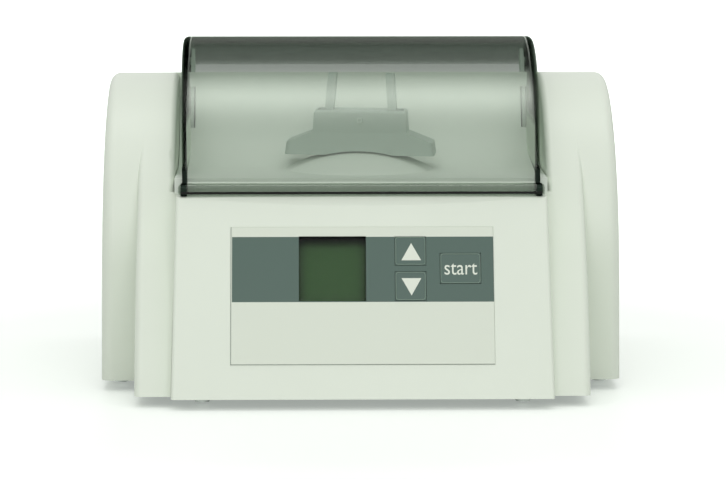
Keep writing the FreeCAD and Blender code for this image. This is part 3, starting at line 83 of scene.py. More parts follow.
# %% [markdown]
# ## Shader sums as plain expressions
# A shader pattern is arithmetic on sockets. Wiring dozens of Math nodes by hand hides the idea, so
# a small class wraps a socket and lets Python's own signs add the nodes: `1 - mask` becomes a
# Subtract node. Everything else, such as a noise or a colour mix, comes from one method.

# %% A socket that can be added and multiplied
class Flow:
    """A shader socket that takes part in Python sums."""

    def __init__(self, finish, socket):
        self.finish, self.socket = finish, socket

    def sum_with(self, operation, first, second, **more):
        return self.finish.add("ShaderNodeMath", {"operation": operation, **more}, [first, second])

    def __add__(self, other):
        return self.sum_with("ADD", self, other)

    def __radd__(self, other):
        return self.sum_with("ADD", other, self)

    def __sub__(self, other):
        return self.sum_with("SUBTRACT", self, other)

    def __rsub__(self, other):
        return self.sum_with("SUBTRACT", other, self)

    def __mul__(self, other):
        return self.sum_with("MULTIPLY", self, other)

    def __rmul__(self, other):
        return self.sum_with("MULTIPLY", other, self)

    def __truediv__(self, other):
        return self.sum_with("DIVIDE", self, other)

    def __abs__(self):
        return self.sum_with("ABSOLUTE", self, 0.0)

    def above(self, edge, soft):
        """0 below the edge and 1 above it, over a soft step."""
        return self.sum_with("DIVIDE", self - (edge - soft / 2), soft, use_clamp=True)


class Finish:
    """A material with one Principled shader and the patterns that drive it."""

    def __init__(self, name, colour, roughness, **plain):
        self.material = bpy.data.materials.new(name)
        self.material.use_nodes = True
        self.tree = self.material.node_tree
        self.shader = self.tree.nodes["Principled BSDF"]
        self.set("Base Color", (*colour, 1.0))
        self.set("Roughness", roughness)
        for socket, value in plain.items():
            self.set(socket.replace("_", " "), value)

    def set(self, socket, value):
        """Gives a shader socket one value, or links it to what varies over the surface."""
        self.feed(self.shader.inputs[socket], value)

    def feed(self, socket, value):
        if isinstance(value, Flow):
            self.tree.links.new(value.socket, socket)
        else:
            socket.default_value = value

    def add(self, kind, settings=None, inputs=None, output=0):
        """Adds a node: settings first, then its inputs by place or by name."""
        node = self.tree.nodes.new(kind)
        for name, value in (settings or {}).items():
            if name == "stops":
                set_stops(node.color_ramp, value)
            else:
                setattr(node, name, value)
        pairs = inputs.items() if isinstance(inputs, dict) else enumerate(inputs or [])
        for place, value in pairs:
            self.feed(node.inputs[place], value)
        return Flow(self, node.outputs[output])

    def places(self):
        """Object coordinates: metres in the room, since every piece sits at the origin."""
        return self.add("ShaderNodeTexCoord", output="Object")

    def along(self, direction, start=0.0):
        """How far a place is along a direction."""
        place = self.add("ShaderNodeVectorMath", {"operation": "DOT_PRODUCT"},
                         {0: self.places(), 1: tuple(direction)}, "Value")
        return place - start

    def noise(self, size, detail=2.0, stretch=None):
        """Cloudy pattern whose lumps are about this size in metres."""
        place = self.places()
        if stretch:
            place = self.add("ShaderNodeVectorMath", {"operation": "MULTIPLY"},
                             {0: place, 1: stretch})
        return self.add("ShaderNodeTexNoise", None,
                        {"Vector": place, "Scale": 1.0 / size, "Detail": detail})

    def mix(self, share, first, second):
        """Blends two colours by a share that may vary."""
        node = self.tree.nodes.new("ShaderNodeMix")
        node.data_type = "RGBA"
        for name, value in (("Factor_Float", share), ("A_Color", first), ("B_Color", second)):
            if isinstance(value, tuple):
                value = (*value, 1.0)
            socket = next(s for s in node.inputs if s.identifier == name)
            self.feed(socket, value)
        return Flow(self, next(s for s in node.outputs if s.identifier == "Result_Color"))

    def relief(self, height, depth, strength=1.0):
        """Bumps of this depth in metres."""
        bump = self.add("ShaderNodeBump", None,
                        {"Height": height, "Distance": depth, "Strength": strength})
        self.set("Normal", bump)


def set_stops(ramp, stops):
    while len(ramp.elements) < len(stops):
        ramp.elements.new(0.5)
    for element, (place, colour) in zip(ramp.elements, stops):
        element.position, element.color = place, (*colour, 1.0)


def paint(red, green, blue):
    """A colour as a picture writes it (0 to 255), turned into light."""
    return tuple((v / 255 / 12.92) if v <= 10 else ((v / 255 + 0.055) / 1.055) ** 2.4
                 for v in (red, green, blue))


print("socket sums ready")

# %% [markdown]
# ## Pale moulded plastic
# The case is injection moulded in a pale grey green. Close up, such plastic has a very fine spark texture and is
# never quite even. A tiny noise as bumps breaks up the highlights, and a slow one shifts the roughness a little,
# so that large plain walls don't look computed. Inside the display's opening the case lies in shade, and that
# shade is painted near black into the case's colour, so that no pale line shows round the glass.

# %% Finish of the case and of the chamber
CASE_PALE = paint(222, 230, 216)
housing = Finish("pale_case_plastic", CASE_PALE, 0.42)
cloud = housing.noise(0.05)
beside = abs(housing.along((1, 0, 0), -0.014)).above(0.0163, 0.0002)
beyond = abs(housing.along(FACE_UP, FACE_UP.dot(FACE_FOOT) + 0.063)).above(0.0168, 0.0002)
behind = 1 - housing.along(FACE_OUT, FACE_OUT.dot(FACE_FOOT)).above(-0.006, 0.0005)
moulded = housing.mix(cloud.above(0.5, 0.8), paint(219, 227, 213), paint(225, 233, 219))
# painted shade: inside the display's opening the case is coloured near black
display_opening_painted_shade = (1 - beside) * (1 - beyond) * (1 - behind)
housing.set("Base Color", housing.mix(display_opening_painted_shade, moulded, paint(20, 24, 20)))
housing.set("Roughness", 0.36 + cloud * 0.14)
housing.relief(housing.noise(0.0007, 3.0), 0.00003, 0.5)

chamber = Finish("chamber_plastic", paint(222, 231, 219), 0.55)
cloud = chamber.noise(0.03)
chamber.set("Base Color", chamber.mix(cloud.above(0.5, 0.8), paint(219, 229, 217), paint(227, 235, 223)))
chamber.set("Roughness", 0.48 + cloud * 0.14)
chamber.relief(chamber.noise(0.0006, 3.0), 0.00003, 0.5)
print("case and chamber finishes made")

# %% [markdown]
# ## Smoked clear plastic
# The lid is one shell of tinted acrylic. A tint that sits in the plastic itself gets darker where a ray runs
# further through it, which darkens the end walls edge-on and makes the crown darker than the front. Colour on
# the surface can't do that, so a clear surface goes round a volume that absorbs light. The surface lets rays
# straight through and adds a reflection, by Fresnel, because the wall is too thin to bend what is seen behind
# it. Light and shade are also painted in by place: the reflection is cut on the crown, the end walls and the rim
# bar as painted shade, and raised into a painted highlight band across the front, a painted highlight line on
# the rim bar's top edge and a painted reflection on the end walls' inner faces. The end walls' lower corners are
# painted near black, and the rear of the lid is painted darker, both painted shade.

# %% Finish of the lid
smoke = Finish("smoked_acrylic", paint(120, 130, 120), 0.04)
tree = smoke.tree
tree.nodes.remove(smoke.shader)
outside = 1 - smoke.add("ShaderNodeNewGeometry", output="Backfacing")
end_wall = abs(smoke.along((1, 0, 0))).above(0.0828, 0.0006)
height = smoke.along((0, 0, 1))
# painted shade: the reflection is cut on the crown, less at its very top
crown = height.above(0.149, 0.008) - height.above(0.163, 0.002) * 0.7
# painted highlight: a thin line of extra reflection on the rim bar's top edge
painted_bar_highlight = height.above(0.1012, 0.0003) * (1 - height.above(0.1021, 0.0004))
bar = (1 - height.above(0.1018, 0.0004)) * 0.3
# painted highlight: the reflection is raised in a band across the lid's front
painted_highlight_band = smoke.add("ShaderNodeMath", {"operation": "MAXIMUM"}, [1 - abs(height - 0.1405) / 0.015, 0.0])
fresnel = smoke.add("ShaderNodeFresnel", None, {"IOR": 1.7})
gloss = smoke.add("ShaderNodeMath", {"operation": "MINIMUM"}, [fresnel, 0.13 - crown * 0.11])
sideways = abs(smoke.along((1, 0, 0)))
# painted reflection: extra reflection on the end walls' inner faces
painted_inner_reflection = (sideways.above(0.0829, 0.0002) * (1 - sideways.above(0.0836, 0.0002))
              * height.above(0.104, 0.001))
# painted shade and highlight: the reflection is cut on the rim bar and the end walls, and raised by the painted
# marks above
clear_or_gloss = smoke.add("ShaderNodeMixShader", None, {
    0: (gloss * (1 - bar) * (1 + painted_highlight_band * 0.9) + painted_bar_highlight * 0.14) * outside * (1 - end_wall * 0.9)
       + fresnel * painted_inner_reflection * outside * 0.8,
    1: smoke.add("ShaderNodeBsdfTransparent"),
    2: smoke.add("ShaderNodeBsdfAnisotropic", None, {"Color": (0.92, 1.0, 0.89, 1), "Roughness": 0.28}),
})
beyond = abs(smoke.along((1, 0, 0))).above(0.0856, 0.0004)
# painted shade: the end walls' lower corners are coloured near black
painted_dark_corner = end_wall * (1 - beyond) * (1 - height.above(0.108, 0.002))
# painted shade: the rear of the lid below the crown is darkened towards black
painted_rear_shade = smoke.along((0, 1, 0)).above(0.01, 0.002) * (1 - height.above(0.1545, 0.006)) * 0.18
surface = smoke.add("ShaderNodeMixShader", None, {
    0: painted_dark_corner + painted_rear_shade * (1 - painted_dark_corner),
    1: clear_or_gloss,
    2: smoke.add("ShaderNodeBsdfAnisotropic", None, {"Color": (0.012, 0.018, 0.014, 1), "Roughness": 0.3}),
})
inside = smoke.add("ShaderNodeVolumeAbsorption", None,
                   {"Color": (*paint(150, 166, 152), 1.0), "Density": 175.0})
out = tree.nodes["Material Output"]
tree.links.new(surface.socket, out.inputs["Surface"])
tree.links.new(inside.socket, out.inputs["Volume"])
print("lid finish made")

# %% [markdown]
# ## Printed film
# The control panel is a film printed on its back: a pale field with one dark grey green band
# across it. The band is a matter of place, not of shape, so the material measures how far up the
# slope a point lies and switches colour there. A step a tenth of a millimetre wide keeps the
# band's edges crisp without jagged pixels.

# %% Finish of the panel and the keys
BAND = paint(55, 83, 72)
film = Finish("printed_film", paint(214, 222, 207), 0.38)
up_slope = film.along(FACE_UP, FACE_UP.dot(FACE_FOOT))
in_band = (up_slope.above(0.0468, 0.0001) * (1 - up_slope.above(0.0785, 0.0001))
           * film.along((1, 0, 0)).above(-0.0612, 0.0001))
by_window = (1 - abs(film.along((1, 0, 0), -0.014)).above(0.0157, 0.0001)) * (1 - up_slope.above(0.0787, 0.0001))
in_band = in_band + (1 - in_band) * by_window * up_slope.above(0.0468, 0.0001)
printed = film.mix(in_band, paint(214, 222, 207), BAND)
# painted shade: the film's left and low edges are coloured darker, for the shade in the seam round the film
painted_left_seam_shade = 1 - film.along((1, 0, 0)).above(-0.06145, 0.0001)
painted_low_seam_shade = 1 - up_slope.above(0.0169, 0.0001)
film.set("Base Color", film.mix((painted_left_seam_shade + painted_low_seam_shade) * 0.6, printed, paint(84, 104, 92)))
film.relief(film.noise(0.0005, 2.0), 0.00001, 0.4)

key_film = Finish("key_film", BAND, 0.36)
# painted highlight: the key beads are coloured lighter than the band
key_bead_highlight_film = Finish("key_bead_painted_highlight", paint(112, 134, 120), 0.4)
key_bead_highlight_film.relief(key_bead_highlight_film.noise(0.0005, 2.0), 0.00001, 0.4)
key_film.relief(key_film.noise(0.0005, 2.0), 0.00001, 0.4)
legend = Finish("white_print", paint(222, 229, 215), 0.45)
legend.relief(legend.noise(0.0003), 0.000005, 0.3)
print("film finishes made")

# %% [markdown]
# ## Display
# With the power off, a liquid crystal display shows a dull green glass. It lies a few millimetres under its
# window, and the soft shadow that the opening's edges throw over its top and its sides is painted into its
# colour: dark along the top, half as dark along the sides. The window itself is clear and takes only
# reflections.

# %% Finish of the window and the display
window = Finish("display_window", paint(24, 32, 24), 0.05, IOR=1.49)
window.set("Alpha", 0.05)
display = Finish("display_glass", paint(20, 24, 20), 0.5, Specular_IOR_Level=0.15)
across = abs(display.along((1, 0, 0), -0.014))
up_slope = display.along(FACE_UP, FACE_UP.dot(FACE_FOOT) + 0.063)
# painted shadow: the glass is darkened along its top, and half as much along its sides
glass = (1 - across.above(0.0136, 0.004) * 0.5) * (1 - up_slope.above(0.0125, 0.005))
display.set("Base Color", display.mix(glass, paint(14, 18, 14), paint(52, 83, 46)))
display.set("Roughness", 0.5 - glass * 0.1)
print("display finishes made")

# %% [markdown]
# ## Plain plastics, rubber and nylon
# Parts that are hidden or dark still need a believable surface. Each gets its own roughness and a
# fine grain: rubber is dull and slightly pitted, nylon is waxy, black switch plastic is smoother.

# %% Finishes of the small plastics
def grained(name, colour, roughness, size, depth, **plain):
    """A plain finish whose roughness and relief follow one grain."""
    made = Finish(name, colour, roughness, **plain)
    grain = made.noise(size, 3.0)
    made.set("Roughness", (roughness - 0.06) + grain * 0.12)
    made.relief(grain, depth, 0.5)
    return made


arm_plastic = grained("lid_arm_plastic", paint(176, 189, 177), 0.45, 0.0008, 0.00003)
dark_plastic = grained("black_plastic", paint(46, 48, 50), 0.42, 0.0008, 0.00003)
rubber = grained("black_rubber", paint(42, 42, 41), 0.8, 0.0012, 0.00008)
nylon = grained("grey_nylon", paint(172, 188, 175), 0.5, 0.0009, 0.00003)
cable_grey = grained("cable_grey", paint(160, 160, 164), 0.5, 0.002, 0.00003)
print("small plastics made")

# %% [markdown]
# ## Metals
# Metal is all reflection, so its look lives in its roughness. Turned parts carry fine marks across
# their axis, drawn cans carry long soft streaks, and cast parts are matt. A noise that is stretched
# in one direction makes each kind of streak.

# %% Finishes of the metals
def metal(name, colour, roughness, stretch, depth=0.00001):
    made = Finish(name, colour, roughness, Metallic=1.0)
    streak = made.noise(0.001, 3.0, stretch)
    made.set("Roughness", (roughness - 0.08) + streak * 0.16)
    made.relief(streak, depth, 0.4)
    return made


steel = metal("bright_steel", paint(205, 206, 208), 0.28, (1.0, 0.08, 0.08))
plated = metal("plated_steel", paint(196, 198, 200), 0.4, (0.3, 0.3, 0.3))
zinc = metal("satin_aluminium", paint(214, 216, 218), 0.45, (1.0, 1.0, 1.0), 0.00003)
dull_steel = metal("dull_plated_steel", paint(194, 200, 195), 0.5, (1.0, 1.0, 1.0))
brass = metal("brass", paint(212, 176, 104), 0.3, (1.0, 0.1, 0.1))
can_metal = metal("drawn_can", paint(216, 217, 220), 0.3, (0.1, 1.0, 1.0))
print("metals made")

# %% [markdown]
# ## Wound copper, stacked sheets and the circuit board
# A motor and a transformer are built of many thin layers: enamelled wire side by side, and steel
# sheets pressed together. Both read as fine parallel lines. A wave pattern draws them as bumps and
# darkens the grooves, which is cheaper than modelling a thousand wires inside a closed case.

# %% Finishes with fine lines
def lined(name, colour, groove, pitch, direction, roughness, **plain):
    """Parallel layers of this pitch, stacked along a direction."""
    made = Finish(name, colour, roughness, **plain)
    turns = made.along(direction) * (math.tau / pitch)
    wave = made.add("ShaderNodeMath", {"operation": "SINE"}, [turns]) * 0.5 + 0.5
    made.set("Base Color", made.mix(wave, groove, colour))
    made.relief(wave, pitch * 0.3, 0.7)
    return made


copper = lined("copper_wire", paint(190, 112, 62), paint(96, 48, 22), 0.0008, (1, 0, 0), 0.34,
               Metallic=1.0)
core_sheets = lined("core_sheets", paint(118, 118, 120), paint(52, 50, 48), 0.0007, (0, 1, 0), 0.45,
                    Metallic=0.9)
board = Finish("green_board", paint(40, 110, 70), 0.35)
weave = board.noise(0.0012, 2.0)
board.set("Base Color", board.mix(weave.above(0.5, 0.5), paint(32, 96, 60), paint(46, 120, 78)))
board.relief(weave, 0.00002, 0.5)
print("lined finishes made")

# %% [markdown]
# ## Dress the solids
# Every solid of the frame gets one finish. A table of names is plain to read and easy to check:
# the loop at its end stops the script if a solid was forgotten.

# %% Give each solid its finish
DRESS = {
    housing: "upper_housing front_cover",
    chamber: "mixing_chamber",
    smoke: "lid",
    arm_plastic: "lid_arm_left lid_arm_right",
    film: "membrane_panel",
    key_film: "up_key down_key start_key",
    window: "display_window",
    display: "display_module",
    nylon: "capsule_carrier carrier_pin clamp_arm_left clamp_arm_right mixing_arm",
    dark_plastic: "key_switches board_parts lid_sensor cooling_fan base_plate power_components "
                  "mains_inlet power_switch_body power_rocker",
    board: "control_board power_board",
    rubber: "rubber_feet rubber_mounts clamp_pads",
    steel: "board_screws mount_screws motor_screws guide_rods outboard_bearing "
           "bearing_inner_ring bearing_outer_ring bearing_balls motor_shaft retaining_ring "
           "hinge_shaft hinge_clips clamp_pins inlet_pins lid_magnet",
    plated: "drive_frame motor_can capacitor_clip",
    zinc: "motor_cap flywheel skew_sleeve",
    dull_steel: "case_screws",
    brass: "motor_bushes",
    copper: "stator transformer_coil",
    core_sheets: "rotor transformer_core",
    can_metal: "motor_capacitor",
    cable_grey: "ribbon_cable",
}
dressed = set()
for finish, names in DRESS.items():
    for name in names.split():
        mesh = nodes[name].data
        mesh.materials.clear()
        mesh.materials.append(finish.material)
        dressed.add(name)
missing = sorted(set(nodes) - dressed)
print(len(dressed), "solids dressed, missing:", missing)
assert not missing

# %% [markdown]
# ## Print on the keys
# The keys carry an up triangle, a down triangle and the word "start", printed in the case's own
# pale tone. Ink has almost no thickness, so each sign is a flat mesh lifted a few hundredths of a
# millimetre off its key. The signs ride with their key, so they move when it's pressed.

# %% Signs on the keys
def piece(name, finish, mesh, body):
    """Puts a finished mesh in the scene and ties it to a moving body."""
    thing = bpy.data.objects.new(name, mesh)
    bpy.context.scene.collection.objects.link(thing)
    mesh.materials.clear()
    mesh.materials.append(finish.material)
    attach(thing, body)
    return thing


def flat_shape(name, outline, thick, place):
    """A thin plate with this outline, put on the face by a placing function."""
    shape = bmesh.new()
    low = [shape.verts.new(place(x, y, 0.0)) for x, y in outline]
    top = [shape.verts.new(place(x, y, thick)) for x, y in outline]
    shape.faces.new(top)
    shape.faces.new(low[::-1])
    count = len(outline)
    for i in range(count):
        j = (i + 1) % count
        shape.faces.new((low[i], low[j], top[j], top[i]))
    mesh = bpy.data.meshes.new(name)
    shape.to_mesh(mesh)
    shape.free()
    return mesh


def on_key(key):
    """Placing function for things printed on a key: across, up, and off its top."""
    across, up = key
    return lambda x, y, z: on_face(across + x, up + y, KEY_TOP + 0.00001 + z)


INK = 0.00004
half, tall = 0.00465, 0.0042
aside = 0.0004
tip_up = [(aside - half, -tall - aside), (aside + half, -tall - aside), (aside, tall - aside)]
tip_down = [(aside + half, tall - aside), (aside - half, tall - aside), (aside, -tall - aside)]
piece("up_sign", legend, flat_shape("up_sign", tip_up, INK, on_key(UP_KEY)), "up_key")
piece("down_sign", legend, flat_shape("down_sign", tip_down, INK, on_key(DOWN_KEY)), "down_key")
print("triangles made")

# %% The word on the start key
letters = bpy.data.curves.new("start_word", "FONT")
letters.body, letters.size = "start", 0.0084
letters.align_x, letters.align_y = "CENTER", "CENTER"
letters.extrude = INK / 2
word = bpy.data.objects.new("start_word_curve", letters)
bpy.context.scene.collection.objects.link(word)
bpy.context.view_layer.update()
mesh = bpy.data.meshes.new_from_object(word.evaluated_get(bpy.context.evaluated_depsgraph_get()))
bpy.data.objects.remove(word)
turn = Matrix((Vector((1, 0, 0)), FACE_UP, FACE_OUT)).transposed().to_4x4()
tall_letters = Matrix.Diagonal((1.0, 1.2, 1.0, 1.0))
mesh.transform(Matrix.Translation(on_key(START_KEY)(0, 0, INK / 2)) @ turn @ tall_letters)
piece("start_sign", legend, mesh, "start_key")
print("word made,", len(mesh.vertices), "points")

# %% [markdown]
# ## A tree that makes shapes
# Beads, screws and slots repeat, and a rule makes them better than a hand does. Geometry Nodes
# hold such a rule. The class below builds a tree with named sizes, runs it once on a base mesh of
# points, and hands back a plain mesh, since instances don't survive an export.

# %% Geometry Nodes in a few words
class Shaper:
    """A Geometry Nodes tree with named sizes, which makes one plain mesh."""

    def __init__(self, name, **sizes):
        self.tree = bpy.data.node_groups.new(name, "GeometryNodeTree")
        panel = self.tree.interface
        panel.new_socket("Points", in_out="INPUT", socket_type="NodeSocketGeometry")
        panel.new_socket("Shape", in_out="OUTPUT", socket_type="NodeSocketGeometry")
        self.keys = {}
        for label, value in sizes.items():
            socket = panel.new_socket(label, in_out="INPUT", socket_type="NodeSocketFloat")
            socket.default_value = value
            self.keys[label] = socket.identifier
        self.given = self.tree.nodes.new("NodeGroupInput").outputs

    def add(self, kind, settings=None, inputs=None, output=0):
        """Adds a node: settings first, then its inputs by name or by place."""
        node = self.tree.nodes.new(kind)
        for name, value in (settings or {}).items():
            setattr(node, name, value)
        for place, value in (inputs or {}).items():
            if isinstance(value, bpy.types.NodeSocket):
                self.tree.links.new(value, node.inputs[place])
            else:
                node.inputs[place].default_value = value
        return node.outputs[output]

    def repeat(self, shape, turn=(0.0, 0.0, 0.0)):
        """Puts the shape on every point, turned, and ends the tree."""
        copies = self.add("GeometryNodeInstanceOnPoints", None,
                          {"Points": self.given["Points"], "Instance": shape, "Rotation": turn})
        whole = self.add("GeometryNodeRealizeInstances", None, {"Geometry": copies})
        self.skin = self.add("GeometryNodeSetMaterial", None, {"Geometry": whole})
        end = self.tree.nodes.new("NodeGroupOutput")
        self.tree.links.new(self.skin, end.inputs["Shape"])

    def make(self, name, finish, points, **sizes):
        """Runs the tree on these points and returns the mesh."""
        self.skin.node.inputs["Material"].default_value = finish.material
        base = bpy.data.meshes.new(name + "_points")
        base.from_pydata([tuple(point) for point in points], [], [])
        thing = bpy.data.objects.new(name + "_maker", base)
        bpy.context.scene.collection.objects.link(thing)
        maker = thing.modifiers.new("maker", "NODES")
        maker.node_group = self.tree
        for label, value in sizes.items():
            maker[self.keys[label]] = value
        ready = thing.evaluated_get(bpy.context.evaluated_depsgraph_get())
        mesh = bpy.data.meshes.new_from_object(ready)
        bpy.data.objects.remove(thing)
        print(name, "has", len(mesh.polygons), "faces")
        return mesh


LEAN = math.atan2(FACE_UP.z, FACE_UP.y)
print("the face leans so that its own Y stands at", round(math.degrees(LEAN), 1), "degrees")

# %% [markdown]
# ## Pressed edges of the keys
# Each key has a fine raised edge with round corners, pressed into its film. On the sloping face it catches the
# light along its top and sides, and its colour is also painted lighter than the key's film, a painted highlight.
# A rounded rectangle swept by a tiny circle makes it, and the same tree serves all three keys through its Width
# and Length inputs.

# %% Beads on the keys
bead = Shaper("key_bead", Width=0.0138, Length=0.0132, Corner=0.0012, Thick=0.0002)
outline = bead.add("GeometryNodeCurvePrimitiveQuadrilateral", None,
                   {"Width": bead.given["Width"], "Height": bead.given["Length"]})
outline = bead.add("GeometryNodeFilletCurve", {"mode": "POLY"},
                   {"Curve": outline, "Radius": bead.given["Corner"], "Count": 6})
section = bead.add("GeometryNodeCurvePrimitiveCircle", {"mode": "RADIUS"},
                   {"Resolution": 8, "Radius": bead.given["Thick"]})
swept = bead.add("GeometryNodeCurveToMesh", None, {"Curve": outline, "Profile Curve": section})
bead.repeat(swept, (LEAN, 0.0, 0.0))
for key, (across, up), width, length in (("up_key", UP_KEY, 0.0138, 0.0132),
                                         ("down_key", DOWN_KEY, 0.0138, 0.0132),
                                         ("start_key", START_KEY, 0.0184, 0.014)):
    ring = bead.make(key + "_bead", key_bead_highlight_film, [on_face(across, up, KEY_TOP)],
                     Width=width, Length=length)
    piece(key + "_bead", key_bead_highlight_film, ring, key)

# %% [markdown]
# ## Ring round the carrier's pin
# The pin that holds the capsule carrier ends in a small round collar on its front. It is a circle swept by a
# finer circle, turned to face along the pin, which leans 5 degrees with the arm. It is coloured paler than the
# nylon round it, a painted highlight on the ring.

# %% Collar of the pin
PIN_END = (-0.0002, -0.0254, 0.1275)
PIN_TURN = (math.radians(90), 0.0, math.radians(-4.9))
collar = Shaper("pin_collar", Radius=0.0012, Thick=0.0002)
circle = collar.add("GeometryNodeCurvePrimitiveCircle", {"mode": "RADIUS"},
                    {"Resolution": 32, "Radius": collar.given["Radius"]})
section = collar.add("GeometryNodeCurvePrimitiveCircle", {"mode": "RADIUS"},
                     {"Resolution": 8, "Radius": collar.given["Thick"]})
collar.repeat(collar.add("GeometryNodeCurveToMesh", None, {"Curve": circle, "Profile Curve": section}),
              PIN_TURN)
# painted highlight: the collar is coloured paler than the nylon round it
pin_collar_painted_highlight = grained("pin_collar_painted_highlight", paint(206, 220, 208), 0.4, 0.0009, 0.00002)
piece("pin_collar", pin_collar_painted_highlight, collar.make("pin_collar", pin_collar_painted_highlight, [PIN_END]),
      "mixing_arm")

# %% [markdown]
# ## Screws under the base
# Six screws hold the base plate. Their heads are round with a cross recess. In the tree a cylinder
# loses two crossed blocks through a boolean, and the result goes on six points. A boolean is safe
# here because both shapes are simple and closed.

# %% Screw heads with a cross recess
cross = Shaper("cross_screw", Radius=0.0034, Height=0.0009, Slot=0.0009, Reach=0.0036)
head = cross.add("GeometryNodeMeshCylinder", None,
                 {"Vertices": 32, "Radius": cross.given["Radius"], "Depth": cross.given["Height"]})
tools = []
for long_side, short_side in (("Reach", "Slot"), ("Slot", "Reach")):
    size = cross.add("ShaderNodeCombineXYZ", None,
                     {"X": cross.given[long_side], "Y": cross.given[short_side],
                      "Z": cross.given["Height"]})
    tool = cross.add("GeometryNodeMeshCube", None, {"Size": size})
    tools.append(cross.add("GeometryNodeTransform", None,
                           {"Geometry": tool, "Translation": (0.0, 0.0, -0.0004)}))
cutting = cross.add("GeometryNodeJoinGeometry", None, {"Geometry": tools[0]})
cross.tree.links.new(tools[1], cutting.node.inputs["Geometry"])
recessed = cross.add("GeometryNodeMeshBoolean", {"operation": "DIFFERENCE"},
                     {"Mesh 1": head, "Mesh 2": cutting})
cross.repeat(recessed)
HEAD_FACE = 0.0027
SCREW_SPOTS = [(0.1161, -0.0415), (0.1161, 0.0985), (0.0752, -0.1025)]
spots = [(side * x, y, HEAD_FACE) for x, y in SCREW_SPOTS for side in (-1, 1)]
piece("screw_recesses", dull_steel, cross.make("screw_recesses", dull_steel, spots), "case")

# %% [markdown]
# ## Dark strip on the lid's rim
# A thin near-black strip along the foot of the rim bar is painted shade: it draws the dark line along the bottom
# of the lid. Its section is a small bead of six corners, so the mesh is that outline at both ends with walls
# between.

# %% Strip on the rim
# painted shade: a near-black strip for the dark line at the foot of the rim bar
rim_shade_finish = grained("rim_painted_shade", paint(16, 17, 15), 0.7, 0.0012, 0.00004, Specular_IOR_Level=0.2)
STRIP_END = 0.0855
STRIP_SECTION = [(-0.0783, 0.0972), (-0.0789, 0.0972), (-0.0790, 0.0974), (-0.0790, 0.0981),
                 (-0.0789, 0.0983), (-0.0783, 0.0983)]
strip = flat_shape("rim_strip", STRIP_SECTION, 2 * STRIP_END,
                   lambda y, z, x: Vector((x - STRIP_END, y, z)))
shape = bmesh.new()
shape.from_mesh(strip)
bmesh.ops.recalc_face_normals(shape, faces=shape.faces)
shape.to_mesh(strip)
shape.free()
piece("rim_strip", rim_shade_finish, strip, "lid")
print("strip has", len(strip.polygons), "faces")

# %% [markdown]
# ## Marks and a label that lie on a curved wall
# A label on a curved wall has to follow it, or its corners stand off in the air. Each of its points
# is shot against the solid from behind, and stops where it hits. The same helper lays a blank
# rating label on the rear wall and the usual I and O on the mains rocker.

# %% Laying thin shapes on the rear
def lay_on(node, name, spots, faces, thick):
    """A thin shape whose points (x, z) lie on the rear of a solid."""
    solid = bmesh.new()
    solid.from_mesh(nodes[node].data)
    target = BVHTree.FromBMesh(solid)
    shape = bmesh.new()
    corners = []
    for x, z in spots:
        hit = target.ray_cast(Vector((x, 0.3, z)), Vector((0, -1, 0)))[0]
        corners.append(shape.verts.new((x, hit.y + 0.00002, z)))
    sheet = [shape.faces.new([corners[i] for i in face]) for face in faces]
    raised = bmesh.ops.extrude_face_region(shape, geom=sheet, use_keep_orig=True)["geom"]
    for thing in raised:
        if isinstance(thing, bmesh.types.BMVert):
            thing.co.y += thick
    bmesh.ops.recalc_face_normals(shape, faces=shape.faces)
    mesh = bpy.data.meshes.new(name)
    shape.to_mesh(mesh)
    shape.free()
    solid.free()
    return mesh


def field(left, right, low, high, columns, rows):
    """Points and faces of a rectangle cut into cells."""
    spots = [(left + (right - left) * i / columns, low + (high - low) * j / rows)
             for j in range(rows + 1) for i in range(columns + 1)]
    wide = columns + 1
    faces = [(j * wide + i, j * wide + i + 1, (j + 1) * wide + i + 1, (j + 1) * wide + i)
             for j in range(rows) for i in range(columns)]
    return spots, faces


def loop(x, z, outer, inner, steps):
    """Points and faces of a flat ring."""
    spots = [(x + r * math.sin(math.tau * i / steps), z + r * math.cos(math.tau * i / steps))
             for r in (outer, inner) for i in range(steps)]
    faces = [(i, (i + 1) % steps, steps + (i + 1) % steps, steps + i) for i in range(steps)]
    return spots, faces


LABEL = (0.0365, 0.0845, 0.0515, 0.0735)
label = Finish("blank_label", paint(196, 201, 198), 0.4, Metallic=0.3)
from_side = abs(label.along((1, 0, 0), (LABEL[0] + LABEL[1]) / 2)) - (LABEL[1] - LABEL[0]) / 2
from_top = abs(label.along((0, 0, 1), (LABEL[2] + LABEL[3]) / 2)) - (LABEL[3] - LABEL[2]) / 2
to_edge = label.add("ShaderNodeMath", {"operation": "MAXIMUM"}, [from_side, from_top])
frame_line = to_edge.above(-0.0016, 0.0001) * (1 - to_edge.above(-0.0012, 0.0001))
label.set("Base Color", label.mix(frame_line, paint(196, 201, 198), paint(84, 92, 88)))
label.relief(label.noise(0.0008), 0.00001, 0.4)
piece("rear_label", label, lay_on("upper_housing", "rear_label", *field(*LABEL, 24, 12), 0.00015),
      "case")
rocker_mid = 0.042
piece("rocker_on_mark", legend, lay_on("power_rocker", "rocker_on_mark",
      *field(rocker_mid - 0.0004, rocker_mid + 0.0004, 0.0361, 0.0393, 1, 6), 0.00004),
      "power_rocker")
piece("rocker_off_mark", legend, lay_on("power_rocker", "rocker_off_mark",
      *loop(rocker_mid, 0.0303, 0.0015, 0.0010, 24), 0.00004), "power_rocker")
print("label and rocker marks made")

# %% [markdown]
# ## Floor and light
# The photograph is a cut-out on white with a soft shadow under the feet. A white floor catches the
# shadow. Seen by the camera it glows a little as well, which lifts it to pure white everywhere but
# in the shadow, and that glow doesn't light the object. The world shows white to the camera for
# the same reason, while a softer grey lights the scene.

